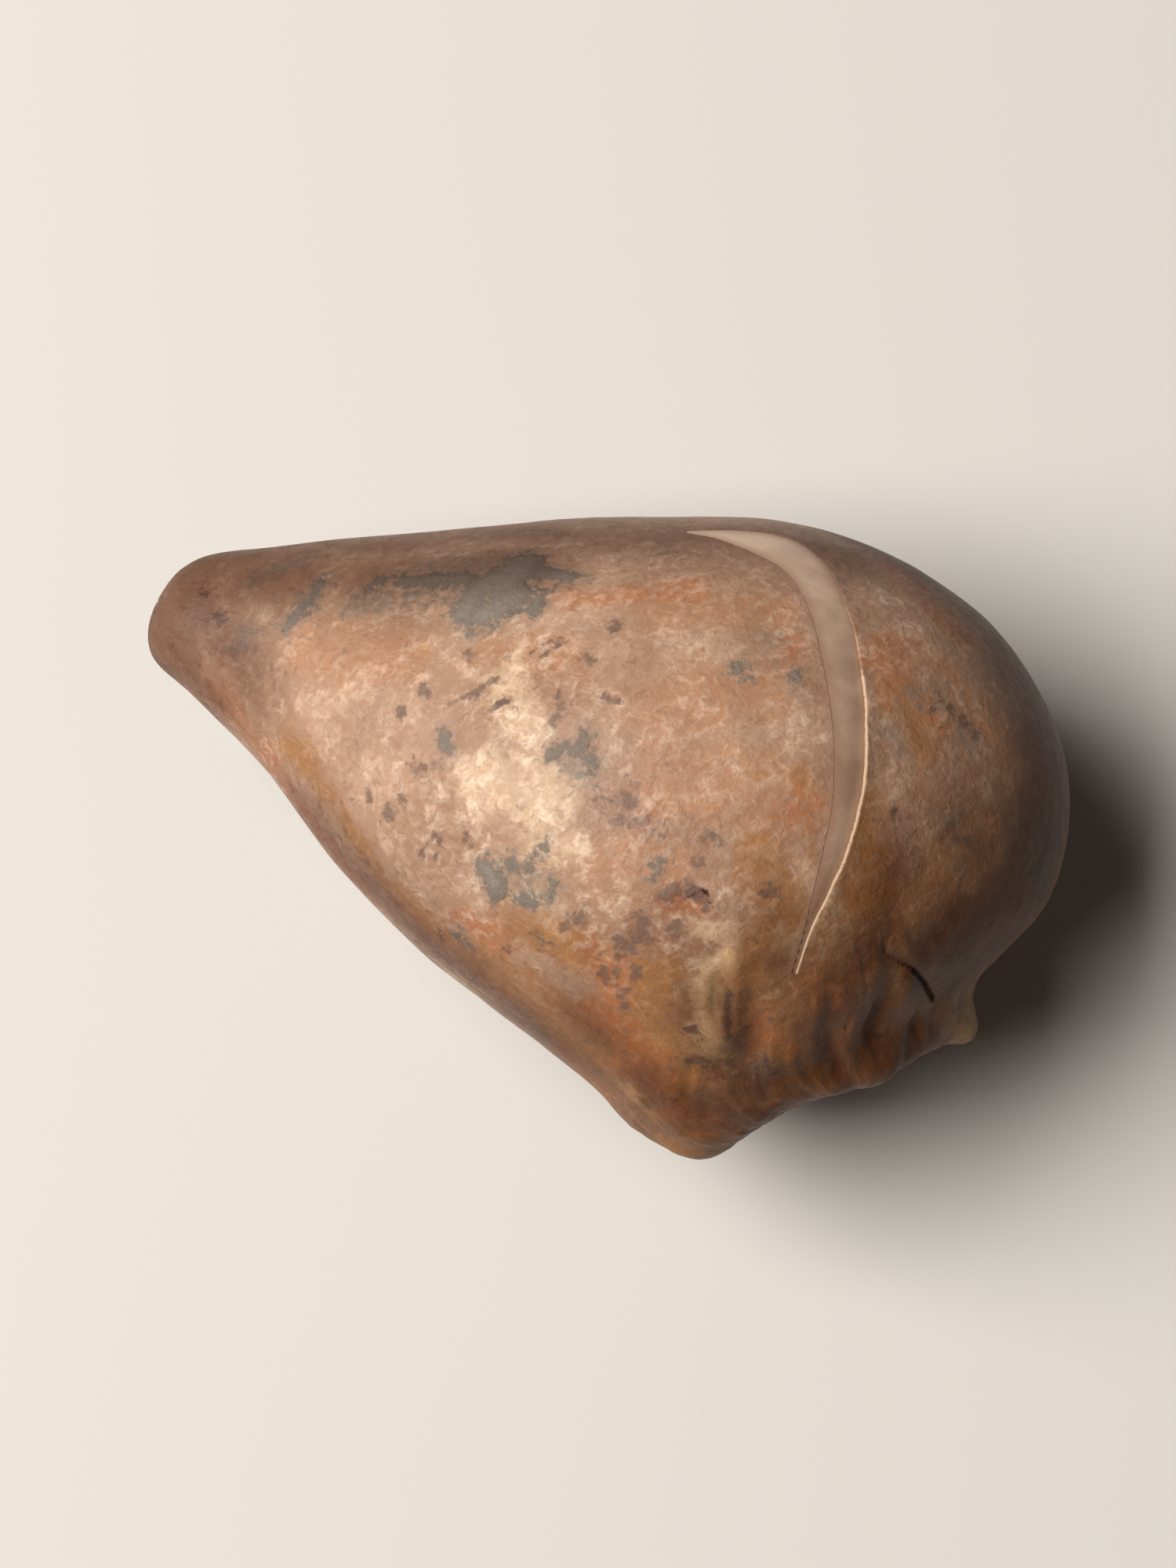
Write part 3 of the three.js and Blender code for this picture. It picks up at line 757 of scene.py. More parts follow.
FOLDS = folds(
    # the folds that the solids have too
    (0.35, 1.4, (3.9, 134), (2.2, 146)), (0.45, 2.2, (2.6, 166), (1.3, 160)),
    (0.25, 0.8, (3.9, 150), (3.5, 146)), (0.35, 0.7, (4.9, 105), (3.9, 116)),
    (-0.25, 0.8, (4.4, 105), (3.2, 112)), (-0.6, 2.0, (2.4, 106), (1.2, 104)),
    (-0.35, 0.7, (4.2, 90), (1.6, 76)), (0.45, 2.0, (2.8, 68), (1.2, 64)),
    (-0.35, 0.7, (4.1, 75), (2.0, 62)), (0.3, 0.8, (3.9, 69), (2.9, 54)),
    (-0.35, 0.7, (2.9, 51), (1.6, 54)), (0.35, 0.8, (2.9, 40), (2.1, 3)),
    (-0.4, 0.9, (3.6, -22), (1.5, -26)), (0.35, 1.3, (3.4, -44), (1.4, -42)),
    (-0.45, 0.8, (4.4, -66), (1.5, -60)), (0.4, 1.6, (3.2, -84), (1.3, -82)),
    (-0.4, 0.8, (4.0, -104), (1.5, -102)), (0.35, 1.4, (3.4, -126), (1.4, -122)),
    (-0.4, 0.9, (3.8, -150), (1.6, -146)),
    # finer ones
    (-0.36, 0.3, (4.31, 76), (4.12, 75), (3.93, 70), (3.47, 57), (3.03, 43)),
    (0.14, 0.35, (4.4, 72), (4.1, 70), (3.7, 60)), (-0.14, 0.4, (3.65, 73), (2.4, 64)),
    (-0.16, 0.35, (3.17, 52), (2.03, 44)), (0.12, 0.35, (3.3, 62), (2.2, 53)),
    (-0.16, 0.3, (3.3, 40), (2.3, 18)), (0.16, 0.4, (3.5, 79), (2.6, 75)),
    (0.2, 0.35, (4.89, 105), (4.85, 112), (4.47, 116), (3.89, 117)),
    (-0.2, 0.3, (4.7, 108), (4.4, 111), (4.0, 113)), (-0.14, 0.35, (4.1, 122), (3.3, 133)),
    (0.12, 0.45, (5.2, 101), (4.7, 108)), (0.16, 0.4, (3.5, 97), (2.5, 92)),
    (-0.18, 0.32, (3.4, 84), (2.4, 78)), (-0.18, 0.4, (3.2, 140), (2.2, 128)),
    (0.18, 0.35, (2.9, 34), (2.5, 22), (2.1, 10)), (-0.14, 0.4, (5.0, -84), (3.4, -88)),
    (0.14, 0.4, (5.2, -128), (3.8, -132)),
)


def folded(form: BulbForm, points: Array) -> Array:
    """How far all the folds lift the skin at points; under 0 in the creases."""
    return sum(fold.over(form, points) for fold in FOLDS)


# ---------------------------------------------------------------------------------------------
# The tunic
# ---------------------------------------------------------------------------------------------


@dataclass(frozen=True)
class Split:
    """The split in the tunic, from near the base to the crest.

    Attributes:
        path: (station, turn in degrees, width) along its middle.
        samples: the points that stand for that line.
        least_width: the width where the path is narrower.
        lift: how far the lip on the base's side curls out, where it is free.
        free: the stations between which that lip comes free.
        soft_from: the stations between which both its edges turn soft.
        rag: how far its torn edges wander.
        reach: how far the cutter goes past the skin.
        search: how far past its ends points are still placed beside it.
    """

    path: tuple[tuple[float, float, float], ...] = (
        (4.4, 96.0, 0.3),
        (4.74, 91.0, 0.4),
        (5.03, 85.1, 1.0),
        (5.33, 78.0, 1.4),
        (5.64, 70.8, 1.8),
        (5.97, 63.2, 2.1),
        (6.3, 54.4, 2.3),
        (6.63, 43.7, 2.5),
        (6.9, 35.2, 3.0),
        (7.14, 30.4, 3.4),
        (7.38, 28.4, 2.2),
        (7.65, 27.2, 0.4),
    )
    samples: int = 300
    least_width: float = 0.06
    lift: float = 0.22
    free: tuple[float, float] = (6.6, 5.6)
    soft_from: tuple[float, float] = (6.1, 6.7)
    rag: float = 0.07
    reach: float = 1.6
    search: float = 6.0

    def line(self) -> tuple[Array, Array, Array]:
        """Stations, turns and widths at even steps along the split's middle."""
        knots = np.array(self.path)
        knots[:, 1] = np.radians(knots[:, 1])
        padded = np.vstack([2 * knots[0] - knots[1], knots, 2 * knots[-1] - knots[-2]])
        place = np.linspace(0.0, len(knots) - 1.0, self.samples)
        index = np.minimum(place.astype(int), len(knots) - 2)
        made = cubic(*(padded[index + k] for k in range(4)), (place - index)[:, None])
        return made[:, 0], made[:, 1], np.maximum(made[:, 2], self.least_width)

    def upper(self, station: Array) -> Array:
        """How far a station lies up the split, where both its edges are soft."""
        return ease(*self.soft_from, station)

    def sides(self, form: BulbForm) -> tuple[Array, Array, Array, Array]:
        """The line's points, normals, ways towards the base's side, and half-widths."""
        station, turn, width = self.line()
        point, normal = form.place(station, turn), form.normal(station, turn)
        ahead = np.gradient(point, axis=0)
        return point, normal, unit(np.cross(ahead, normal)), width / 2

    def across(self, form: BulbForm, points: Array) -> tuple[Array, Array]:
        """Where points lie beside the split.

        Args:
            form: the bulb's form.
            points: places near the skin.

        Returns:
            The signed distance from the split's middle, over 0 on the base's side, and the
            half-width of the split there. Past the ends the distance grows as a whole.
        """
        middle, _, side, half = self.sides(form)
        tree = tree_of(middle)
        offset, width = np.full(len(points), FAR), np.zeros(len(points))
        centre = middle.mean(axis=0)
        radius = np.linalg.norm(middle - centre, axis=1).max() + self.search
        for row in np.flatnonzero(np.linalg.norm(points - centre, axis=1) < radius):
            _, index, distance = tree.find(points[row])
            sign = 1.0 if np.dot(points[row] - middle[index], side[index]) > 0 else -1.0
            offset[row], width[row] = sign * distance, half[index]
        return offset, width

    def cutter(self, form: BulbForm, noise: Noise) -> Shape:
        """A ragged bar along the split, to take out of the tunic."""
        middle, normal, side, half = self.sides(form)
        rag = self.rag * np.minimum(1.0, 1.6 * half)
        near = middle + side * (half + rag * noise.layered(middle, 1.5, 3))[:, None]
        far = middle - side * (half + rag * noise.layered(middle + 40.0, 2.6, 3))[:, None]
        up = normal * self.reach
        corners = np.stack([near - up, near + up, far + up, far - up], axis=1)
        last = 4 * (self.samples - 1)
        faces: list[Face] = [(0, 1, 2, 3), (last + 3, last + 2, last + 1, last)]
        for low in range(0, last, 4):
            faces += band(low, low + 4, 4)
        return Shape("split_cutter", corners.reshape(-1, 3), faces)


@dataclass(frozen=True)
class BaseOpening:
    """The torn opening that the tunic leaves round the basal plate, in the ring's frame.

    Attributes:
        ring: the basal ring.
        share: the opening's radius, as a share of the ring's.
        rag: how far its edge wanders in slow waves, as a share of its radius.
        tatter: how far it wanders in fine tears, as a share of the ring's radius.
        points: the points of its edge.
        depth: how far its cutter goes to either side of the ring.
    """

    ring: RingFrame
    share: float = 0.7
    rag: float = 0.05
    tatter: float = 0.07
    points: int = 420
    depth: float = 2.6

    def edge(self, noise: Noise) -> Array:
        """The opening's torn outline."""
        turn = circle_of(self.points)
        circle = np.stack([np.cos(turn), np.sin(turn), np.zeros(self.points)], -1)
        torn = noise.layered(6.0 * circle, 1.1, 3)
        share = self.share * (1 + self.rag * (np.sin(5 * turn + 0.6) + np.sin(9 * turn)))
        share = share + self.tatter * torn
        return circle * share[:, None] * (self.ring.radius, self.ring.height, 0.0)

    def cutter(self, noise: Noise) -> Shape:
        """A ragged plug, to take out of the tunic."""
        edge, count = self.edge(noise), self.points
        low, high = edge - (0, 0, self.depth), edge + (0, 0, self.depth)
        ends = [[0.0, 0.0, -self.depth], [0.0, 0.0, self.depth]]
        points = self.ring.outwards(np.vstack([low, high, ends]))
        faces: list[Face] = []
        for k in range(count):
            after = (k + 1) % count
            faces.append((k, after, count + after, count + k))
            faces.append((after, k, 2 * count))
            faces.append((count + k, count + after, 2 * count + 1))
        return Shape("opening_cutter", points, faces)

    def distance(self, points: Array) -> Array:
        """About how far points near the base are from the torn outline; elsewhere, FAR."""
        local = self.ring.inwards(points)
        share = np.hypot(local[:, 0] / self.ring.radius, local[:, 1] / self.ring.height)
        near = np.abs(share - self.share) * self.ring.radius
        return np.where(np.abs(local[:, 2]) < self.depth, near, FAR)


@dataclass(frozen=True)
class Tunic:
    """The papery tunic: a thin closed shell with its pleats, wrinkles, crusts and torn edges.

    Attributes:
        form: the bulb's form.
        ring: the basal ring.
        split: the split.
        thickness: the skin's, away from its edges.
        edge_thickness: at a crisp edge.
        edge_taper: how far from a crisp edge the skin thins.
        worn_thickness: at the soft edge of the split.
        worn_taper: how far from the soft edge the skin thins.
        worn_smooth: how far from the soft edge the wrinkles fade.
        curl: how far from the split its lip stays lifted.
        pleats: how many there are round the base.
        pleat_height: their height.
        pleats_start: the stations between which they rise.
        pleats_end: the stations between which they run out.
        beak_station: where a torn corner stands out of the ring.
        beak_height: how far it does.
        beak_slopes: how fast it falls towards the base and towards the nose, in stations.
        beak_half_turn: its half-width round the bulb, in radians.
        near_base: the stations between which the skin grows smoother, away from the base.
        near_nose: the stations between which it grows rougher again.
        wrinkle_heights: of the wrinkles all over, and what the base and the nose add.
        crinkle_heights: of the crinkles all over, and what the base adds.
        clay_height: how far dried clay stands up.
        clay_rag: how far its edge wanders.
        clay_lumps: how uneven it is, as a share of its height.
        same_point: a point farther than this from all those before a cut was made by the cut.
        outside: the grid of its outer face.
        lining: the grid of its inner face.
    """

    form: BulbForm
    ring: RingFrame
    split: Split = field(default_factory=Split)
    thickness: float = 0.3
    edge_thickness: float = 0.09
    edge_taper: float = 0.8
    worn_thickness: float = 0.015
    worn_taper: float = 1.6
    worn_smooth: float = 1.2
    curl: float = 0.5
    pleats: int = 22
    pleat_height: float = 0.06
    pleats_start: tuple[float, float] = (0.8, 2.0)
    pleats_end: tuple[float, float] = (2.4, 4.8)
    beak_station: float = 2.1
    beak_height: float = 1.1
    beak_slopes: tuple[float, float] = (0.3, 0.6)
    beak_half_turn: float = 0.18
    near_base: tuple[float, float] = (2.5, 5.2)
    near_nose: tuple[float, float] = (10.3, 12.0)
    wrinkle_heights: Triple = (0.010, 0.024, 0.04)
    crinkle_heights: tuple[float, float] = (0.016, 0.08)
    clay_height: float = 0.08
    clay_rag: float = 0.22
    clay_lumps: float = 0.35
    same_point: float = 0.0001
    outside: SkinGrid = SkinGrid(rings=206, columns=384)
    lining: SkinGrid = SkinGrid(rings=80, columns=180)

    @property
    def noise(self) -> Noise:
        """The noise that the pieces share."""
        return self.form.noise

    @property
    def opening(self) -> BaseOpening:
        """The opening round the basal plate."""
        return BaseOpening(self.ring)

    def folds(self, skin: Skin) -> Array:
        """The height of the pleats, the beak and the folds."""
        station, turn = skin.station, skin.turn
        fade = ease(*self.pleats_start, station) * (1 - ease(*self.pleats_end, station))
        wander = 0.7 * self.noise.layered(skin.grain * (0.4, 0.4, 0.3), 3.0, 2)
        phase = self.pleats * turn + 1.1 * np.sin(3 * turn) + 0.8 * np.sin(5 * turn + 1)
        uneven = 0.65 + 0.35 * np.sin(4 * turn + 0.7)
        height = self.pleat_height * fade * uneven * (0.4 + 0.6 * np.cos(phase + wander))
        from_belly = np.abs((turn + math.pi) % (2 * math.pi) - math.pi)
        to_base, to_nose = self.beak_slopes
        slope = np.where(station > self.beak_station, to_nose, to_base)
        beak = bell(station - self.beak_station, slope) * bell(from_belly, self.beak_half_turn)
        height += self.beak_height * beak
        return height + folded(self.form, skin.point)

    def wrinkles(self, skin: Skin) -> Array:
        """The height of the fine wrinkles along the bulb and of the crinkles between them."""
        along = self.noise.layered(skin.grain * (1.0, 1.0, 0.16), 2.0, 3)
        ridged = 1 - 2.2 * np.abs(along)
        near_base = 1 - ease(*self.near_base, skin.station)
        near_nose = ease(*self.near_nose, skin.station)
        crinkle = self.noise.layered(skin.point + 77.0, 1.8, 3)
        all_over, at_base, at_nose = self.wrinkle_heights
        wrinkled = all_over + at_base * near_base + at_nose * near_nose
        all_over, at_base = self.crinkle_heights
        return wrinkled * ridged + (all_over + at_base * near_base) * crinkle

    def lips(self, skin: Skin) -> tuple[Array, Array, Array, Array]:
        """The split's lips.

        Returns:
            Their height, the distance to the split, and how much farther than that its crisp edge
            and its soft edge are. The edge on the nose's side is soft, and the other is crisp,
            except near the crest.
        """
        offset, half = self.split.across(self.form, skin.point)
        beyond = np.maximum(np.abs(offset) - half, 0.0)
        base_side = ease(-0.6, 0.6, offset / np.maximum(half, 0.1))
        open_here = np.clip((half - 0.15) / 0.5, 0.0, 1.0) * base_side
        uneven = 0.75 + 0.5 * self.noise.at(skin.point + 5.0, 2.4)
        free = 0.15 + 0.85 * ease(*self.split.free, skin.station)
        lifted = self.split.lift * uneven * free * np.exp(-beyond / self.curl)
        upper = self.split.upper(skin.station)
        crisp = np.where(offset > 0, EDGE_CHANGE * upper, FAR)
        soft = np.where(offset > 0, EDGE_CHANGE * (1 - upper), 0.0)
        return lifted * open_here, beyond, crisp, soft

    def shell(self, grid: SkinGrid, inner: bool) -> tuple[Shape, dict[Field, Array]]:
        """One face of the tunic as a closed shape, with its fields.

        Args:
            grid: the grid to make it on.
            inner: whether it is the lining, which lies a thickness under the outside.
        """
        skin = grid.skin(self.form)
        lips, beyond, crisp, soft = self.lips(skin)
        folds = self.folds(skin)
        fields = {name: drawn.depth(self.form, skin.point) for name, drawn in MARKS.items()}
        opening = self.opening.distance(skin.point)
        torn, worn = np.minimum(beyond + crisp, opening), beyond + soft
        wrinkles = self.wrinkles(skin) * ease(0.0, self.worn_smooth, worn)
        height = folds + wrinkles + lips + self.form.uneven(skin.point)
        if inner:
            thin = (self.thickness - self.edge_thickness) * bell(torn, self.edge_taper)
            thinner = (self.thickness - self.worn_thickness) * bell(worn, self.worn_taper)
            height = height - (self.thickness - np.maximum(thin, thinner))
        else:
            rag = self.clay_rag * self.noise.layered(skin.point + 3.0, 1.1, 3)
            crust = ease(-0.1, 0.3, fields[Field.CLAY] + rag)
            crust = crust * (1 + self.clay_lumps * self.noise.at(skin.point, 0.8))
            height = height + self.clay_height * crust * ease(0.15, 0.6, torn)
        points = skin.point + skin.normal * height[:, None]
        points[:, 2] = np.maximum(points[:, 2], self.thickness if inner else 0.0)
        fields[Field.GRAIN], fields[Field.STATION], fields[Field.FOLD] = skin.grain, skin.station, folds
        fields[Field.TORN] = np.where(opening < beyond, 0.0, crisp)
        fields[Field.WORN] = np.where(opening < beyond, FAR, soft)
        return Shape("tunic_lining" if inner else "tunic_skin", points, grid.faces()), fields

    def build(self, material: bpy.types.Material) -> bpy.types.Object:
        """Makes the tunic, cuts it open and dresses it."""
        outside, outer_fields = self.shell(self.outside, inner=False)
        lining, inner_fields = self.shell(self.lining, inner=True)
        known = np.vstack([outside.points, lining.points])
        splitter = self.split.cutter(self.form, self.noise)
        outside.cut(lining, splitter, self.opening.cutter(self.noise))
        points = outside.points
        nearest, away = nearest_of(known, points)
        edges = points[away > self.same_point]
        to_edge = nearest_of(edges, points)[1]
        for name, values in outer_fields.items():
            values = np.concatenate([values, inner_fields[name]])[nearest]
            outside.carry(name, values + to_edge if name in (Field.TORN, Field.WORN) else values)
        outside.smooth()
        return outside.finish(material, Slot.TUNIC, "tunic")


# ---------------------------------------------------------------------------------------------
# The scales and the basal plate
# ---------------------------------------------------------------------------------------------


@dataclass(frozen=True)
class FleshyScales:
    """The fleshy scales as one smooth body, which swells a little into the split.

    Attributes:
        form: the bulb's form.
        ring: the basal ring.
        split: the split in the tunic.
        inset: how far the body lies under the form.
        crisp_depth: the same, under the lip on the base's side.
        worn_depth: the same, under the soft edge.
        worn_reach: how far from the split it swells towards the soft edge.
        low_end: how much of the swell under a soft edge the split's narrow low end has.
        low_end_half: the half-width of the split under which it is taken for its low end.
        seat_depth: how far under the basal ring the body ends.
        vein_height: the height of its fine veins.
        grid: the grid of its face.
        seed: what its noise starts from.
    """

    form: BulbForm
    ring: RingFrame
    split: Split = field(default_factory=Split)
    inset: float = 0.42
    crisp_depth: float = 0.2
    worn_depth: float = 0.02
    worn_reach: float = 1.6
    low_end: float = 0.55
    low_end_half: float = 0.7
    seat_depth: float = 2.9
    vein_height: float = 0.005
    grid: SkinGrid = SkinGrid(rings=150, columns=260)
    seed: int = 23

    def build(self, material: bpy.types.Material) -> bpy.types.Object:
        """Makes the scales and dresses them."""
        noise = Noise(self.seed)
        skin = self.grid.skin(self.form)
        offset, half = self.split.across(self.form, skin.point)
        inside = half - np.abs(offset)
        worn = (self.inset - self.worn_depth) * bell(np.maximum(-inside, 0.0), self.worn_reach)
        crisp = (self.inset - self.crisp_depth) * ease(-0.8, 0.1, inside)
        share = ease(1.0, -0.2, offset / np.maximum(half, 0.05))
        share = np.maximum(share, self.split.upper(skin.station))
        narrow = 1 - np.clip(half / self.low_end_half, 0.0, 1.0)
        share = np.maximum(share, self.low_end * narrow)
        swell = (worn * share + crisp * (1 - share)) * np.clip(half / 0.1, 0.0, 1.0)
        veins = self.vein_height * noise.layered(skin.grain * (1.0, 1.0, 0.1), 1.4, 3)
        slow = self.form.uneven(skin.point)
        pressed = np.minimum(folded(self.form, skin.point), 0.0)
        height = swell + veins + slow + pressed - self.inset
        points = skin.point + skin.normal * height[:, None]
        local = self.ring.inwards(points)
        local[:, 2] = np.minimum(local[:, 2], -self.seat_depth)
        points = self.ring.outwards(local)
        points[:, 2] = np.maximum(points[:, 2], self.inset)
        shape = Shape("scales_flesh", points, self.grid.faces())
        shape.carry(Field.GRAIN, skin.grain)
        shape.carry(Field.STATION, skin.station)
        shape.carry(Field.TORN, np.where(offset > 0, inside, FAR))
        lower = 1 - self.split.upper(skin.station)
        shape.carry(Field.WORN, inside + np.where(offset < 0, 0.0, EDGE_CHANGE * lower))
        shape.smooth()
        return shape.finish(material, Slot.FLESH, "fleshy_scales")


@dataclass(frozen=True)
class BasalPlate:
    """The corky basal plate: a low crown with a ring of hollow root stubs raised from it.

    Attributes:
        ring: the basal ring, from which the depths are measured.
        plate_share: the plate's radius, as a share of the ring's.
        crown_depth: the depth of its middle.
        rim_depth: the depth of its rim.
        back_depth: the depth of its back.
        back_share: the radius of its back, as a share of its rim's.
        bevel: how far over its back the rim's side starts to slope in.
        ring_share: the radius of the ring of stubs, as a share of the basal ring's.
        stubs: the large root stubs.
        stub_radius: about how wide one is.
        stub_height: about how far it stands out.
        small_stubs: the small ones, scattered between them.
        roughness: the height of its grain.
        rays: the low ridges that run out from its middle.
        ray_height: their height.
        rings: the rings of points of its outer face.
        columns: the points of one ring.
        seed: what its draws and its noise start from.
    """

    ring: RingFrame
    plate_share: float = 0.79
    crown_depth: float = 0.75
    rim_depth: float = 1.35
    back_depth: float = 2.6
    back_share: float = 0.93
    bevel: float = 0.4
    ring_share: float = 0.54
    stubs: int = 22
    stub_radius: float = 0.42
    stub_height: float = 0.85
    small_stubs: int = 34
    roughness: float = 0.1
    rays: int = 46
    ray_height: float = 0.05
    rings: int = 84
    columns: int = 330
    seed: int = 5

    def stub_table(self) -> Array:
        """The stubs as rows: x, y, radius, height, over the plate's round unit disc."""
        draws = np.random.default_rng(self.seed)
        share_of_plate = self.ring_share / self.plate_share
        rows = []
        for k in range(self.stubs + self.small_stubs):
            spot, out, wide, tall = (draws.random() for _ in range(4))
            if k < self.stubs:
                turn = 2 * math.pi * (k + 0.7 * spot) / self.stubs
                share = share_of_plate * (1 + 0.16 * (out - 0.5))
                size = self.stub_radius * (0.65 + 0.5 * wide)
                height = self.stub_height * (0.65 + 0.35 * tall)
            else:
                turn = 2 * math.pi * spot
                share = share_of_plate * (0.72 + 0.5 * out)
                size = self.stub_radius * (0.35 + 0.45 * wide)
                height = 0.3 * self.stub_height * (0.6 + 0.6 * tall)
            rows.append((share * math.cos(turn), share * math.sin(turn), size, height))
        return np.array(rows)

    def raised(self, flat: Array, radius: float, noise: Noise) -> Array:
        """How far the stubs stand out at points of the flat disc."""
        height = np.zeros(len(flat))
        for stub_x, stub_y, size, tall in self.stub_table():
            away = np.hypot(flat[:, 0] - stub_x * radius, flat[:, 1] - stub_y * radius) / size
            away = away * (1 + 0.10 * noise.at(flat + 9.0, 0.5))
            hollow = 0.45 * bell(away, 0.42) * (away < 1)
            height = np.maximum(height, tall * (1 - ease(0.72, 1.25, away) - hollow))
        return height

    def build(self, material: bpy.types.Material) -> bpy.types.Object:
        """Makes the plate and dresses it."""
        noise = Noise(self.seed)
        radius = self.plate_share * self.ring.radius
        squash = self.ring.height / self.ring.radius
        share = np.repeat(np.linspace(0.0, 1.0, self.rings + 1)[1:], self.columns)
        turn = np.tile(circle_of(self.columns), self.rings)
        share, turn = np.append(share, 0.0), np.append(turn, 0.0)
        disc = np.stack([share * np.cos(turn), share * np.sin(turn), np.zeros(len(share))], -1)
        flat = disc * radius
        depth = self.crown_depth + (self.rim_depth - self.crown_depth) * share**3
        rough = self.roughness * noise.layered(flat, 1.6, 4)
        waves = np.cos(self.rays * turn + 2 * noise.at(flat, 2.0))
        rays = self.ray_height * waves * ease(0.15, 0.5, share)
        raised = self.raised(flat, radius, noise)
        face = flat * (1.0, squash, 1.0)
        face[:, 2] = (rough + rays) * (1 - ease(0.85, 1.0, share)) + raised - depth
        rim = face[-self.columns - 1 : -1]
        skirt = rim * (1.0, 1.0, 0.0) + (0.0, 0.0, self.bevel - self.back_depth)
        back = rim * (self.back_share, self.back_share, 0.0) + (0.0, 0.0, -self.back_depth)
        middle = np.array([[0.0, 0.0, -self.back_depth]])
        points = self.ring.outwards(np.vstack([face, skirt, back, middle]))
        shape = Shape("basal_plate_cork", points, self.faces(len(face)))
        shape.carry(Field.FOLD, np.append(raised, np.zeros(len(points) - len(face))))
        shape.smooth(70.0)
        return shape.finish(material, Slot.CORK, "basal_plate")

    def faces(self, count: int) -> list[Face]:
        """The plate's faces; count is the number of points on its outer face, the middle last."""
        columns, centre = self.columns, count - 1
        after = [(k + 1) % columns for k in range(columns)]
        made: list[Face] = [(centre, k, after[k]) for k in range(columns)]
        skirt, back = count, count + columns
        starts = [*range(0, centre, columns), skirt, back]
        for low, high in itertools.pairwise(starts):
            made += band(low, high, columns)
        made += [(back + after[k], back + k, back + columns) for k in range(columns)]
        return made


# ---------------------------------------------------------------------------------------------
# Finishes
# ---------------------------------------------------------------------------------------------


Colour = Triple


def pigment(red: int, green: int, blue: int) -> Colour:
    """A colour given as it shows on a screen, from 0 to 255, as light."""

    def light(value: int) -> float:
        """One channel."""
        share = value / 255
        return share / 12.92 if share <= 0.04045 else ((share + 0.055) / 1.055) ** 2.4

    return light(red), light(green), light(blue)


class Wire:
    """A socket that gives numbers. Arithmetic on it adds Math nodes."""

    def __init__(self, graph: "Graph", socket: bpy.types.NodeSocket) -> None:
        """Wraps an output socket of a graph."""
        self.graph = graph
        self.socket = socket

    def __add__(self, other: Any) -> "Wire":
        """This plus other."""
        return self.graph.math("ADD", self, other)

    def __radd__(self, other: Any) -> "Wire":
        """Other plus this."""
        return self.graph.math("ADD", other, self)

    def __sub__(self, other: Any) -> "Wire":
        """This less other."""
        return self.graph.math("SUBTRACT", self, other)

    def __rsub__(self, other: Any) -> "Wire":
        """Other less this."""
        return self.graph.math("SUBTRACT", other, self)

    def __mul__(self, other: Any) -> "Wire":
        """This times other."""
        return self.graph.math("MULTIPLY", self, other)

    def __rmul__(self, other: Any) -> "Wire":
        """Other times this."""
        return self.graph.math("MULTIPLY", other, self)

    def size(self) -> "Wire":
        """This without its sign."""
        return self.graph.math("ABSOLUTE", self)

    def clamped(self) -> "Wire":
        """This held between 0 and 1."""
        return self.graph.math("ADD", self, 0.0, clamp=True)

    def step(self, low: float, high: float) -> "Wire":
        """A smooth step from 0 at low to 1 at high; low may be the larger."""
        falls = low > high
        wires = {
            "Value": self, "From Min": min(low, high), "From Max": max(low, high),
            "To Min": float(falls), "To Max": float(not falls),
        }
        settings = {"interpolation_type": "SMOOTHSTEP"}
        return self.graph.node("ShaderNodeMapRange", settings, wires).out()


class Made:
    """A node that has been added."""

    def __init__(self, graph: "Graph", node: bpy.types.Node) -> None:
        """Wraps a node of a graph."""
        self.graph = graph
        self.node = node

    def out(self, name: str | int = 0) -> Wire:
        """One of its outputs."""
        return Wire(self.graph, self.node.outputs[name])


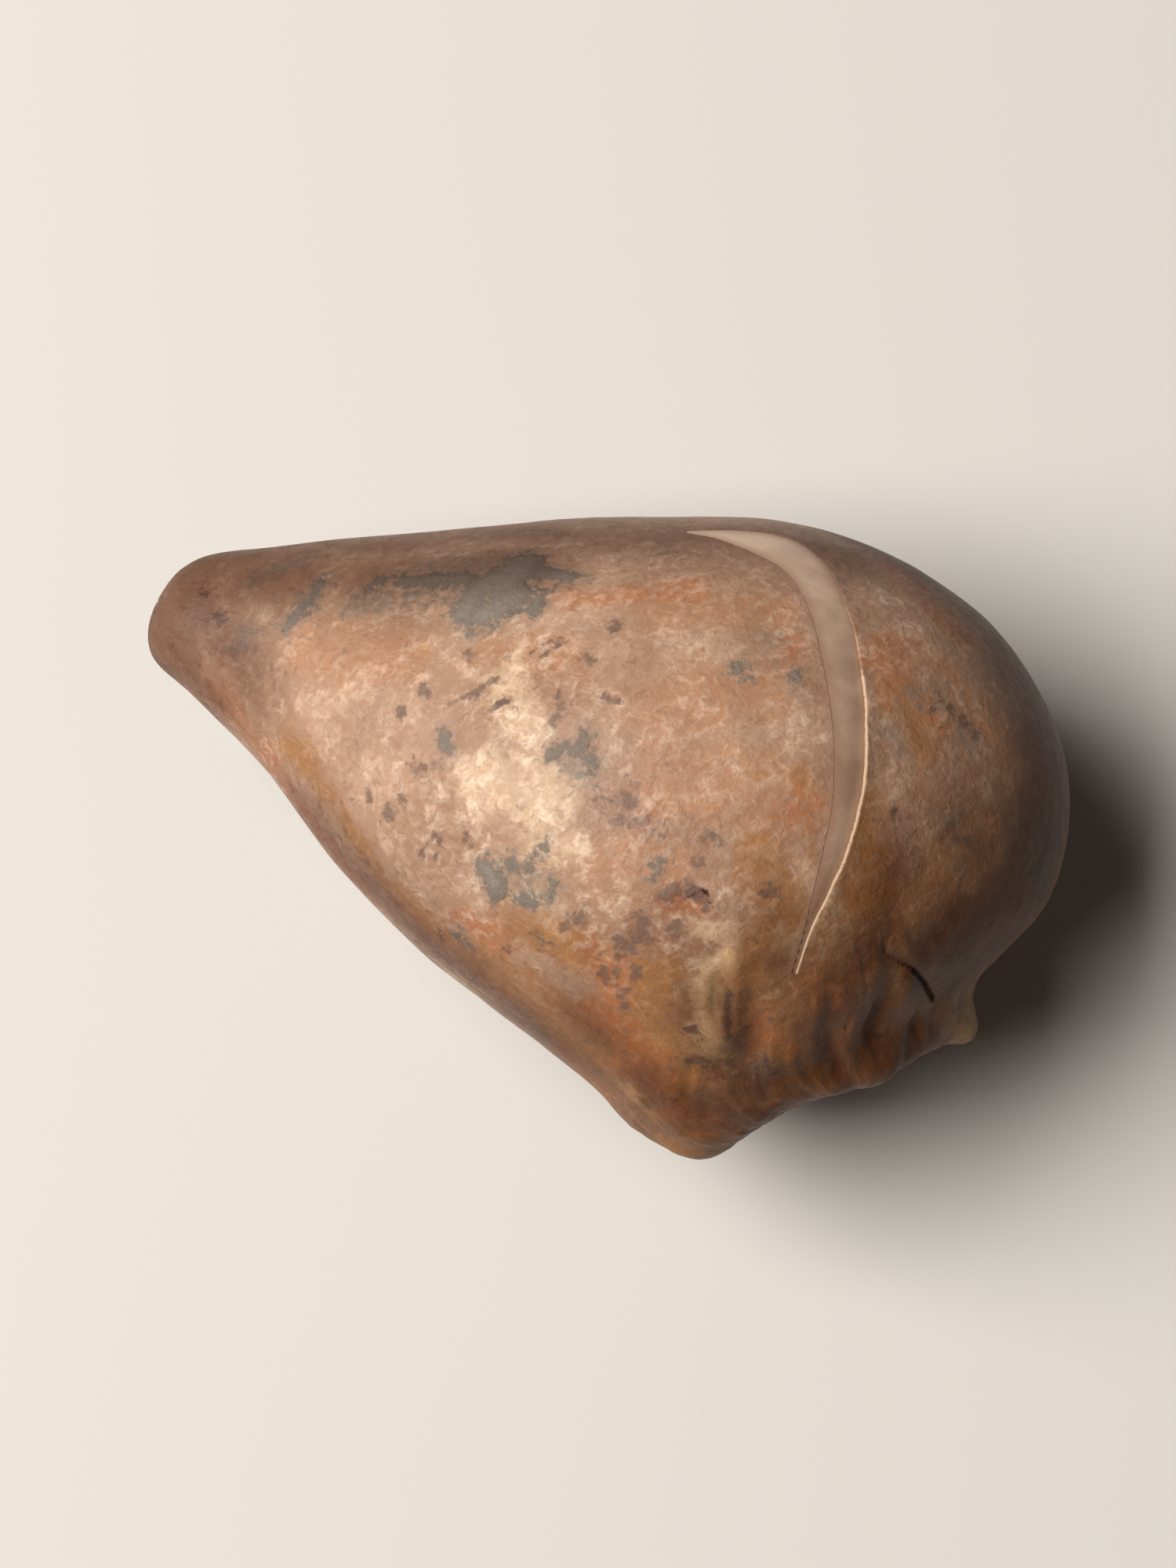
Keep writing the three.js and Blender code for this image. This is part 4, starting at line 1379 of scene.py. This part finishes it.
class Graph:
    """A material's nodes."""

    def __init__(self, name: str) -> None:
        """Makes a material with an empty graph; place is a point of the piece in millimetres."""
        self.material = bpy.data.materials.new(name)
        self.material.use_nodes = True
        self.tree = self.material.node_tree
        self.tree.nodes.clear()
        place = self.node("ShaderNodeTexCoord", {}, {}).out("Object")
        self.place = self.scaled(place, (1 / MILLIMETRE,) * 3)

    def node(self, kind: str, settings: dict[str, Any], sockets: dict[Any, Any]) -> Made:
        """Adds a node.

        Args:
            kind: the node's type.
            settings: its settings, set first.
            sockets: values or wires for its inputs, by name or number.

        Returns:
            The node.
        """
        node = self.tree.nodes.new(kind)
        for name, value in settings.items():
            setattr(node, name, value)
        for name, value in sockets.items():
            if isinstance(value, Wire):
                self.tree.links.new(value.socket, node.inputs[name])
            else:
                node.inputs[name].default_value = value
        return Made(self, node)

    def math(self, operation: str, *values: Any, clamp: bool = False) -> Wire:
        """A Math node on wires and numbers, in that order."""
        settings = {"operation": operation, "use_clamp": clamp}
        return self.node("ShaderNodeMath", settings, dict(enumerate(values))).out()

    def field(self, name: Field) -> Wire:
        """A value that the mesh carries."""
        settings = {"attribute_name": name.value}
        output = "Vector" if name is Field.GRAIN else "Fac"
        return self.node("ShaderNodeAttribute", settings, {}).out(output)

    def scaled(self, vector: Wire, by: Triple) -> Wire:
        """A vector with each part multiplied."""
        return self.node("ShaderNodeVectorMath", {"operation": "MULTIPLY"}, {0: vector, 1: by}).out()

    def stretched(self, vector: Wire, turn: float, much: float) -> Wire:
        """A vector that grows slower along a level direction, given in degrees from +X."""
        wires = {"Vector": vector, "Rotation": (0.0, 0.0, math.radians(turn)), "Scale": (much, 1.0, 1.0)}
        return self.node("ShaderNodeMapping", {"vector_type": "TEXTURE"}, wires).out()

    def pushed(self, vector: Wire, way: Wire, much: float) -> Wire:
        """A vector moved by another times a number."""
        settings = {"operation": "MULTIPLY_ADD"}
        wires = {0: way, 1: (much,) * 3, 2: vector}
        return self.node("ShaderNodeVectorMath", settings, wires).out()

    def noise(
        self, vector: Wire, size: float, detail: float = 2.0, rough: float = 0.5, bend: float = 0.0
    ) -> Wire:
        """Noise with lumps of a size in the vector's units, from 0 to 1."""
        wires = {
            "Vector": vector, "Scale": 1 / size, "Detail": detail, "Roughness": rough,
            "Distortion": bend,
        }
        return self.node("ShaderNodeTexNoise", {}, wires).out("Fac")

    def drift(self, vector: Wire, size: float) -> Wire:
        """Noise that differs in each direction, to bend a vector with."""
        wires = {"Vector": vector, "Scale": 1 / size, "Detail": 2.0}
        return self.node("ShaderNodeTexNoise", {}, wires).out("Color")

    def mix(self, share: Wire | float, first: Wire | Colour, second: Wire | Colour) -> Wire:
        """Two colours mixed."""
        wires: dict[int, Any] = {0: share}
        for index, colour in ((6, first), (7, second)):
            wires[index] = colour if isinstance(colour, Wire) else (*colour, 1.0)
        return self.node("ShaderNodeMix", {"data_type": "RGBA"}, wires).out(2)

    def shaded(self, colour: Wire, share: Wire, much: Colour) -> Wire:
        """A colour multiplied by another, as far as a share says."""
        settings = {"data_type": "RGBA", "blend_type": "MULTIPLY"}
        return self.node("ShaderNodeMix", settings, {0: share, 6: colour, 7: (*much, 1.0)}).out(2)

    def bump(self, height: Wire, distance: float) -> Wire:
        """A normal from heights; distance is the real height of 1, in millimetres."""
        wires = {"Height": height, "Distance": distance * MILLIMETRE, "Strength": 1.0}
        return self.node("ShaderNodeBump", {}, wires).out("Normal")

    def surface(self, **sockets: Any) -> bpy.types.Material:
        """Ends the graph in a Principled shader, with its sockets by name."""
        named = {name.replace("_", " "): value for name, value in sockets.items()}
        if isinstance(named["Base Color"], tuple):
            named["Base Color"] = (*named["Base Color"], 1.0)
        shader = self.node("ShaderNodeBsdfPrincipled", {}, named)
        self.node("ShaderNodeOutputMaterial", {}, {"Surface": shader.out()})
        return self.material


@dataclass(frozen=True)
class Grains:
    """The tunic's textures, each from 0 to 1, from coarse to fine."""

    broad: Wire
    cloud: Wire
    worms: Wire
    web: Wire
    mottle: Wire
    fibres: Wire
    fleck: Wire
    pores: Wire

    @classmethod
    def of(cls, graph: Graph) -> "Grains":
        """Adds the textures to a graph."""
        place = graph.place
        tangled = graph.pushed(place, graph.drift(place, 0.9), 0.9)
        slanted = graph.stretched(tangled, 62.0, 1.6)
        bent = graph.pushed(graph.field(Field.GRAIN), graph.drift(place, 2.2), 1.4)
        return cls(
            broad=graph.noise(place, 7.0, 3.0, 0.55, 0.4),
            cloud=graph.noise(tangled, 2.6, 4.0, 0.62),
            worms=graph.noise(slanted, 0.58, 2.0, 0.5, 0.4),
            web=graph.noise(tangled, 1.3, 2.0, 0.6),
            mottle=graph.noise(tangled, 0.85, 3.0, 0.6),
            fibres=graph.noise(graph.scaled(bent, (1.0, 1.0, 0.12)), 0.36, 3.0, 0.6),
            fleck=graph.noise(place, 0.38, 3.0, 0.6),
            pores=graph.noise(place, 0.13, 2.0, 0.5),
        )


@dataclass(frozen=True)
class TunicFinish:
    """Dry papery skin: a tan satin ground with flecks, fibres, speckle, stains and dried clay, with
    painted shade and painted highlights.
    """

    ground: Colour = pigment(158, 126, 103)
    brown: Colour = pigment(116, 82, 61)
    pale: Colour = pigment(215, 191, 168)
    # cream patches, partly a painted highlight on the crown
    cream_and_highlight: Colour = pigment(188, 160, 127)
    tan: Colour = pigment(101, 58, 30)
    rose: Colour = pigment(156, 111, 79)
    gold: Colour = pigment(140, 93, 50)
    orange: Colour = pigment(152, 88, 49)
    rust: Colour = pigment(110, 64, 42)
    speck: Colour = pigment(90, 69, 59)
    # scratches, and painted shade lines along creases
    scratch_and_shade: Colour = pigment(84, 62, 54)
    crease: Colour = pigment(36, 24, 20)
    # partly paler skin, partly a painted highlight
    pale_streak_and_highlight: Colour = pigment(176, 147, 102)
    # painted shade, with some darker skin, at the nose, the rim and the base
    dark_skin_and_shade: Colour = (0.36, 0.27, 0.24)
    base_tint: Colour = (1.0, 0.98, 0.84)
    dust: Colour = pigment(112, 98, 86)
    clay: Colour = pigment(126, 115, 104)
    clay_dark: Colour = pigment(82, 73, 66)
    # pale line on the crisp torn edges: partly paler torn skin, partly a painted highlight where the
    # lifted lip catches the light
    edge: Colour = pigment(194, 165, 138)
    # thin skin at the split's soft edge, partly painted shade along that edge
    thin_film_and_shade: Colour = pigment(142, 110, 90)

    def material(self) -> bpy.types.Material:
        """Makes the finish."""
        graph = Graph("tunic_paper")
        grains = Grains.of(graph)
        clay = self.clay_share(graph, grains)
        colour = self.washes(graph, grains)
        colour = self.flecks(graph, grains, colour)
        colour = graph.shaded(colour, graph.field(Field.STATION).step(5.4, 4.2), self.base_tint)
        colour = self.stains(graph, grains, colour)
        crumbs = (grains.fleck - 0.5) * 3.0 + (grains.mottle - 0.5) * 3.0
        halo = (graph.field(Field.CLAY) + crumbs).step(-0.9, 0.4)
        colour = graph.mix(halo * 0.45, colour, self.dust)
        lit = (grains.fleck * 0.6 + grains.mottle * 0.3 + grains.pores * 0.2).step(0.45, 0.65)
        thick = graph.field(Field.CLAY).step(-0.2, 1.0) * 0.6 + 0.4
        clays = graph.mix((lit * 0.4 + 0.6) * thick, self.clay_dark, self.clay)
        colour = graph.mix(clay * 0.9, colour, clays)
        # painted shade, with some darker skin, at the nose, the rim and the base; it darkens the clay
        # too
        dark_skin_and_shade = (graph.field(Field.DARK_SKIN_AND_SHADE) + crumbs * 0.5).step(-3.6, 2.0)
        colour = graph.shaded(colour, dark_skin_and_shade * 0.88, self.dark_skin_and_shade)
        # partly paler torn skin, partly a painted highlight on the lifted lip
        crisp = graph.field(Field.TORN).step(0.12, 0.02)
        colour = graph.mix(crisp * (1 - clay) * 0.85, colour, self.edge)
        gloss = grains.mottle * 0.2 + grains.fleck * 0.18 + 0.29
        cracks = graph.field(Field.CREASE).step(-0.2, 0.0)
        return graph.surface(
            Base_Color=colour,
            Roughness=(gloss + clay * 0.5 + cracks * 0.6).clamped(),
            Normal=graph.bump(self.relief(grains, clay), 0.12),
            Specular_IOR_Level=0.16,
            Subsurface_Weight=0.05,
            Subsurface_Radius=(1.0, 0.45, 0.2),
            Subsurface_Scale=0.4 * MILLIMETRE,
        )

    def washes(self, graph: Graph, grains: Grains) -> Wire:
        """The broad colours, each faded through the texture."""
        uneven = (grains.cloud - 0.5) * 4.0 + (grains.mottle - 0.5) * 3.0
        colour = graph.mix(grains.broad.step(0.38, 0.66) * 0.45, self.ground, self.brown)
        base = graph.field(Field.STATION).step(6.8, 3.6) * 0.85
        colour = graph.mix(base, colour, self.tan)
        for name, tint, much in (
            (Field.ROSE, self.rose, 0.7),
            (Field.CREAM_AND_HIGHLIGHT, self.cream_and_highlight, 0.62),
            (Field.GOLD, self.gold, 0.82),
            (Field.ORANGE, self.orange, 0.62),
            (Field.RUST, self.rust, 0.36),
        ):
            share = (graph.field(name) + uneven).step(-1.0, 0.6)
            colour = graph.mix(share * much, colour, tint)
        return colour

    def flecks(self, graph: Graph, grains: Grains, colour: Wire) -> Wire:
        """The fine net of pale flecks, partly worn skin and partly a painted highlight on the crown,
        brown threads and speckle over a colour.
        """
        station = graph.field(Field.STATION)
        # pale flecks, strongest on the crown and in the cream patches and fewer towards the base and the
        # nose: partly a painted highlight
        middle = station.step(3.8, 6.2) * station.step(10.8, 9.0) * 0.7 + 0.3
        patchy = grains.cloud.step(0.36, 0.62)
        cream_and_highlight_share = (graph.field(Field.CREAM_AND_HIGHLIGHT) + (grains.cloud - 0.5) * 3.0).step(-3.8, 0.2)
        golden = (graph.field(Field.GOLD) + (grains.cloud - 0.5) * 3.0).step(-1.2, 0.6)
        middle = middle * (cream_and_highlight_share * 0.45 + 0.55) * (1 - golden * 0.5)
        pale = (grains.worms * 0.45 + grains.mottle * 0.3 + grains.fleck * 0.25).step(0.44, 0.63)
        colour = graph.mix(pale * (patchy * 0.4 + 0.28) * middle, colour, self.pale)
        colour = graph.mix(grains.cloud.step(0.6, 0.42) * 0.3, colour, self.brown)
        blotch = (grains.mottle * 0.5 + grains.web * 0.3 + grains.fleck * 0.2).step(0.52, 0.64)
        colour = graph.mix(blotch * (0.74 - patchy * 0.2), colour, self.brown)
        threads = (grains.web - 0.5).size().step(0.04, 0.0)
        colour = graph.mix(threads * 0.22, colour, self.brown)
        colour = graph.mix(grains.fibres.step(0.55, 0.75) * 0.16, colour, self.brown)
        colour = graph.mix(grains.fibres.step(0.42, 0.26) * 0.1, colour, self.pale)
        specks = (grains.fleck * 0.7 + grains.mottle * 0.2 + grains.broad * 0.3).step(0.72, 0.84)
        return graph.mix(specks * 0.45, colour, self.speck)

    def stains(self, graph: Graph, grains: Grains, colour: Wire) -> Wire:
        """Folds with painted shade in their creases, pale streaks with painted highlights, dust, brown
        spots, scratches with painted shade lines, cracks, and painted shade at the split's soft edge,
        over a colour.
        """
        ragged = (grains.mottle - 0.5) * 1.8 + (grains.fleck - 0.5) * 1.4 + (grains.pores - 0.5) * 0.4
        fold = graph.field(Field.FOLD)
        # painted shade: creases darkened towards rust; the backs of folds are tinted gold
        colour = graph.mix(fold.step(-0.04, -0.34) * 0.45, colour, self.rust)
        colour = graph.mix(fold.step(0.16, 0.55) * 0.3, colour, self.gold)
        # pale streaks: partly paler skin, partly a painted highlight on ridges and the beak
        pale_streaks_and_highlights = (graph.field(Field.PALE_STREAK_AND_HIGHLIGHT) + ragged).step(-0.5, 0.4)
        colour = graph.mix(pale_streaks_and_highlights * (grains.fleck.step(0.35, 0.6) * 0.3 + 0.12), colour, self.pale_streak_and_highlight)
        dust = (graph.field(Field.DUST) + ragged * 1.1).step(-0.7, 0.5)
        colour = graph.mix(dust * (grains.fleck.step(0.38, 0.62) * 0.4 + 0.3), colour, self.dust)
        lobes = (grains.mottle - 0.5) * 2.6 + (grains.fleck - 0.5) * 1.4
        spots = (graph.field(Field.SPOT) + lobes).step(-0.32, 0.26)
        colour = graph.mix(spots * 0.72, colour, self.speck)
        # scratches, and painted shade lines along creases and beside a ridge
        scratches_and_shade_lines = (graph.field(Field.LINE) + ragged * 0.35).step(-0.22, 0.06)
        colour = graph.mix(scratches_and_shade_lines * 0.75, colour, self.scratch_and_shade)
        creases = (graph.field(Field.CREASE) + ragged * 0.2).step(-0.17, -0.02)
        colour = graph.mix(creases * 0.95, colour, self.crease)
        # by the split's soft edge: partly the thin skin over the flesh, partly painted shade
        soft = graph.field(Field.WORN).step(0.6, 0.0)
        return graph.mix(soft * 0.55, colour, self.thin_film_and_shade)

    @staticmethod
    def clay_share(graph: Graph, grains: Grains) -> Wire:
        """Where clay covers the skin, with ragged edges."""
        crumbs = (grains.fleck - 0.5) * 1.3 + (grains.mottle - 0.5) * 1.7
        return (graph.field(Field.CLAY) + crumbs).step(-0.22, 0.3)

    @staticmethod
    def relief(grains: Grains, clay: Wire) -> Wire:
        """Heights for the bump: crinkled paper, or crumbly clay."""
        crinkle = (grains.web - 0.5).size() * 0.4 + grains.worms * 0.3
        paper = crinkle + grains.mottle * 0.6 + grains.fibres * 0.2 + grains.fleck * 0.3
        grit = grains.fleck * 0.7 + grains.pores * 0.3 + grains.mottle * 0.3 + 0.25
        return paper * (1 - clay) + grit * clay


@dataclass(frozen=True)
class FleshFinish:
    """Smooth waxy flesh, a little darker where it passes under the tunic."""

    ground: Colour = pigment(138, 110, 90)
    pale: Colour = pigment(192, 163, 140)
    brown: Colour = pigment(126, 92, 68)
    shade: Colour = pigment(136, 102, 82)

    def material(self) -> bpy.types.Material:
        """Makes the finish."""
        graph = Graph("scale_flesh")
        station = graph.field(Field.STATION)
        veins = graph.noise(graph.scaled(graph.field(Field.GRAIN), (1.0, 1.0, 0.06)), 0.7, 3.0, 0.6)
        cloud = graph.noise(graph.place, 2.2, 3.0)
        top = station.step(5.6, 7.2) * 0.6 + cloud.step(0.4, 0.65) * 0.25
        colour = graph.mix(top, self.ground, self.pale)
        colour = graph.mix(veins.step(0.5, 0.75) * 0.15, colour, self.brown)
        colour = graph.mix(station.step(5.3, 4.8) * 0.75, colour, self.brown)
        colour = graph.mix(graph.field(Field.WORN).step(0.9, -0.1) * 0.75, colour, self.shade)
        colour = graph.mix(graph.field(Field.TORN).step(0.25, 0.0) * 0.5, colour, self.shade)
        return graph.surface(
            Base_Color=colour,
            Roughness=(cloud * 0.12 + 0.36).clamped(),
            Normal=graph.bump(veins * 0.4 + cloud * 0.6, 0.03),
            Subsurface_Weight=0.2,
            Subsurface_Radius=(1.0, 0.6, 0.35),
            Subsurface_Scale=0.8 * MILLIMETRE,
        )


@dataclass(frozen=True)
class CorkFinish:
    """Dry corky tissue with pale root stubs."""

    ground: Colour = pigment(142, 106, 70)
    dark: Colour = pigment(80, 54, 36)
    stub: Colour = pigment(204, 176, 130)

    def material(self) -> bpy.types.Material:
        """Makes the finish."""
        graph = Graph("basal_cork")
        lumps = graph.noise(graph.place, 1.1, 4.0, 0.65)
        grit = graph.noise(graph.place, 0.25, 3.0, 0.6)
        colour = graph.mix(lumps.step(0.35, 0.65), self.dark, self.ground)
        colour = graph.mix(graph.field(Field.FOLD).step(0.12, 0.5) * 0.85, colour, self.stub)
        colour = graph.mix(grit.step(0.58, 0.75) * 0.35, colour, self.dark)
        return graph.surface(
            Base_Color=colour,
            Roughness=(0.95 - grit * 0.15).clamped(),
            Normal=graph.bump(lumps * 0.5 + grit * 0.5, 0.14),
        )


@dataclass(frozen=True)
class FloorFinish:
    """A plain pale matt surface."""

    ground: Colour = pigment(186, 181, 174)

    def material(self) -> bpy.types.Material:
        """Makes the finish."""
        return Graph("studio_floor").surface(Base_Color=self.ground, Roughness=0.75)


# ---------------------------------------------------------------------------------------------
# The studio
# ---------------------------------------------------------------------------------------------


def from_angles(azimuth: float, elevation: float) -> Vector:
    """The way towards an azimuth and an elevation in degrees, azimuth 0 being towards -Y."""
    turn, rise = math.radians(azimuth), math.radians(elevation)
    flat = math.cos(rise)
    return Vector((math.sin(turn) * flat, -math.cos(turn) * flat, math.sin(rise)))


@dataclass(frozen=True)
class SoftLight:
    """A square light that faces the bulb."""

    name: str
    azimuth: float
    elevation: float
    distance: float
    width: float
    watts: float
    colour: Colour = (1.0, 1.0, 1.0)

    def add(self, target: Vector) -> None:
        """Puts it in the scene."""
        light = bpy.data.lights.new(self.name, "AREA")
        light.shape, light.size = "SQUARE", self.width
        light.energy, light.color = self.watts, self.colour
        lamp = bpy.data.objects.new(self.name, light)
        way = from_angles(self.azimuth, self.elevation)
        lamp.location = target + way * self.distance
        lamp.rotation_euler = way.to_track_quat("Z", "Y").to_euler()
        bpy.context.scene.collection.objects.link(lamp)


@dataclass
class Studio:
    """The floor, the lights, the pale surroundings and the camera."""

    floor_size: float = 6.0
    azimuth: float = 20.0
    elevation: float = 80.0
    camera_distance: float = 0.28
    bulb_share: float = 0.8  # of the picture's width
    picture: tuple[int, int] = (1500, 2000)
    sensor: float = 36.0
    sky: Colour = (0.96, 0.88, 0.81)
    sky_strength: float = 0.036
    lights: tuple[SoftLight, ...] = (
        SoftLight("key_light", -74.0, 54.0, 0.8, 0.55, 14.2, (1.0, 0.985, 0.965)),
        SoftLight("fill_light", 95.0, 55.0, 1.1, 0.9, 0.25, (1.0, 0.86, 0.75)),
    )

    def build(self, low: Vector, high: Vector) -> None:
        """Sets the studio round the bulb's box."""
        middle = (low + high) / 2
        self.floor()
        for light in self.lights:
            light.add(middle)
        self.surroundings()
        self.camera(middle, high.x - low.x)

    def floor(self) -> None:
        """The surface that the bulb lies on."""
        half = self.floor_size / 2
        corners = [(-half, -half, 0.0), (half, -half, 0.0), (half, half, 0.0), (-half, half, 0.0)]
        mesh = bpy.data.meshes.new("studio_floor")
        mesh.from_pydata(corners, [], [(0, 1, 2, 3)])
        mesh.materials.append(FloorFinish().material())
        floor = bpy.data.objects.new("studio_floor", mesh)
        bpy.context.scene.collection.objects.link(floor)

    def surroundings(self) -> None:
        """Even pale light from all round."""
        world = bpy.data.worlds.new("studio")
        world.use_nodes = True
        background = world.node_tree.nodes["Background"]
        background.inputs["Color"].default_value = (*self.sky, 1.0)
        background.inputs["Strength"].default_value = self.sky_strength
        bpy.context.scene.world = world

    def camera(self, middle: Vector, length: float) -> None:
        """Looks down on the bulb, square to its side profile."""
        data = bpy.data.cameras.new("camera")
        wide, tall = self.picture
        seen = length / self.bulb_share * tall / wide
        data.sensor_width = self.sensor
        data.lens = self.sensor * self.camera_distance / seen
        data.clip_start = 0.01
        camera = bpy.data.objects.new("camera", data)
        way = from_angles(self.azimuth, self.elevation)
        camera.location = middle + way * self.camera_distance
        camera.rotation_euler = way.to_track_quat("Z", "Y").to_euler()
        bpy.context.scene.collection.objects.link(camera)
        bpy.context.scene.camera = camera


def main() -> None:
    """Builds the studio and the bulb's pieces."""
    form = BulbForm()
    ring = RingFrame(form)
    Studio().build(*(Vector(corner) for corner in CAD_BOX))
    bpy.context.scene.view_settings.view_transform = "Standard"
    builders: tuple[Callable[[], bpy.types.Object], ...] = (
        lambda: Tunic(form, ring).build(TunicFinish().material()),
        lambda: FleshyScales(form, ring).build(FleshFinish().material()),
        lambda: BasalPlate(ring).build(CorkFinish().material()),
    )
    for build in builders:
        piece = build()
        mesh = piece.data
        log.info("%s: %d points, %d faces", piece.name, len(mesh.vertices), len(mesh.polygons))


if __name__ == "__main__":
    main()
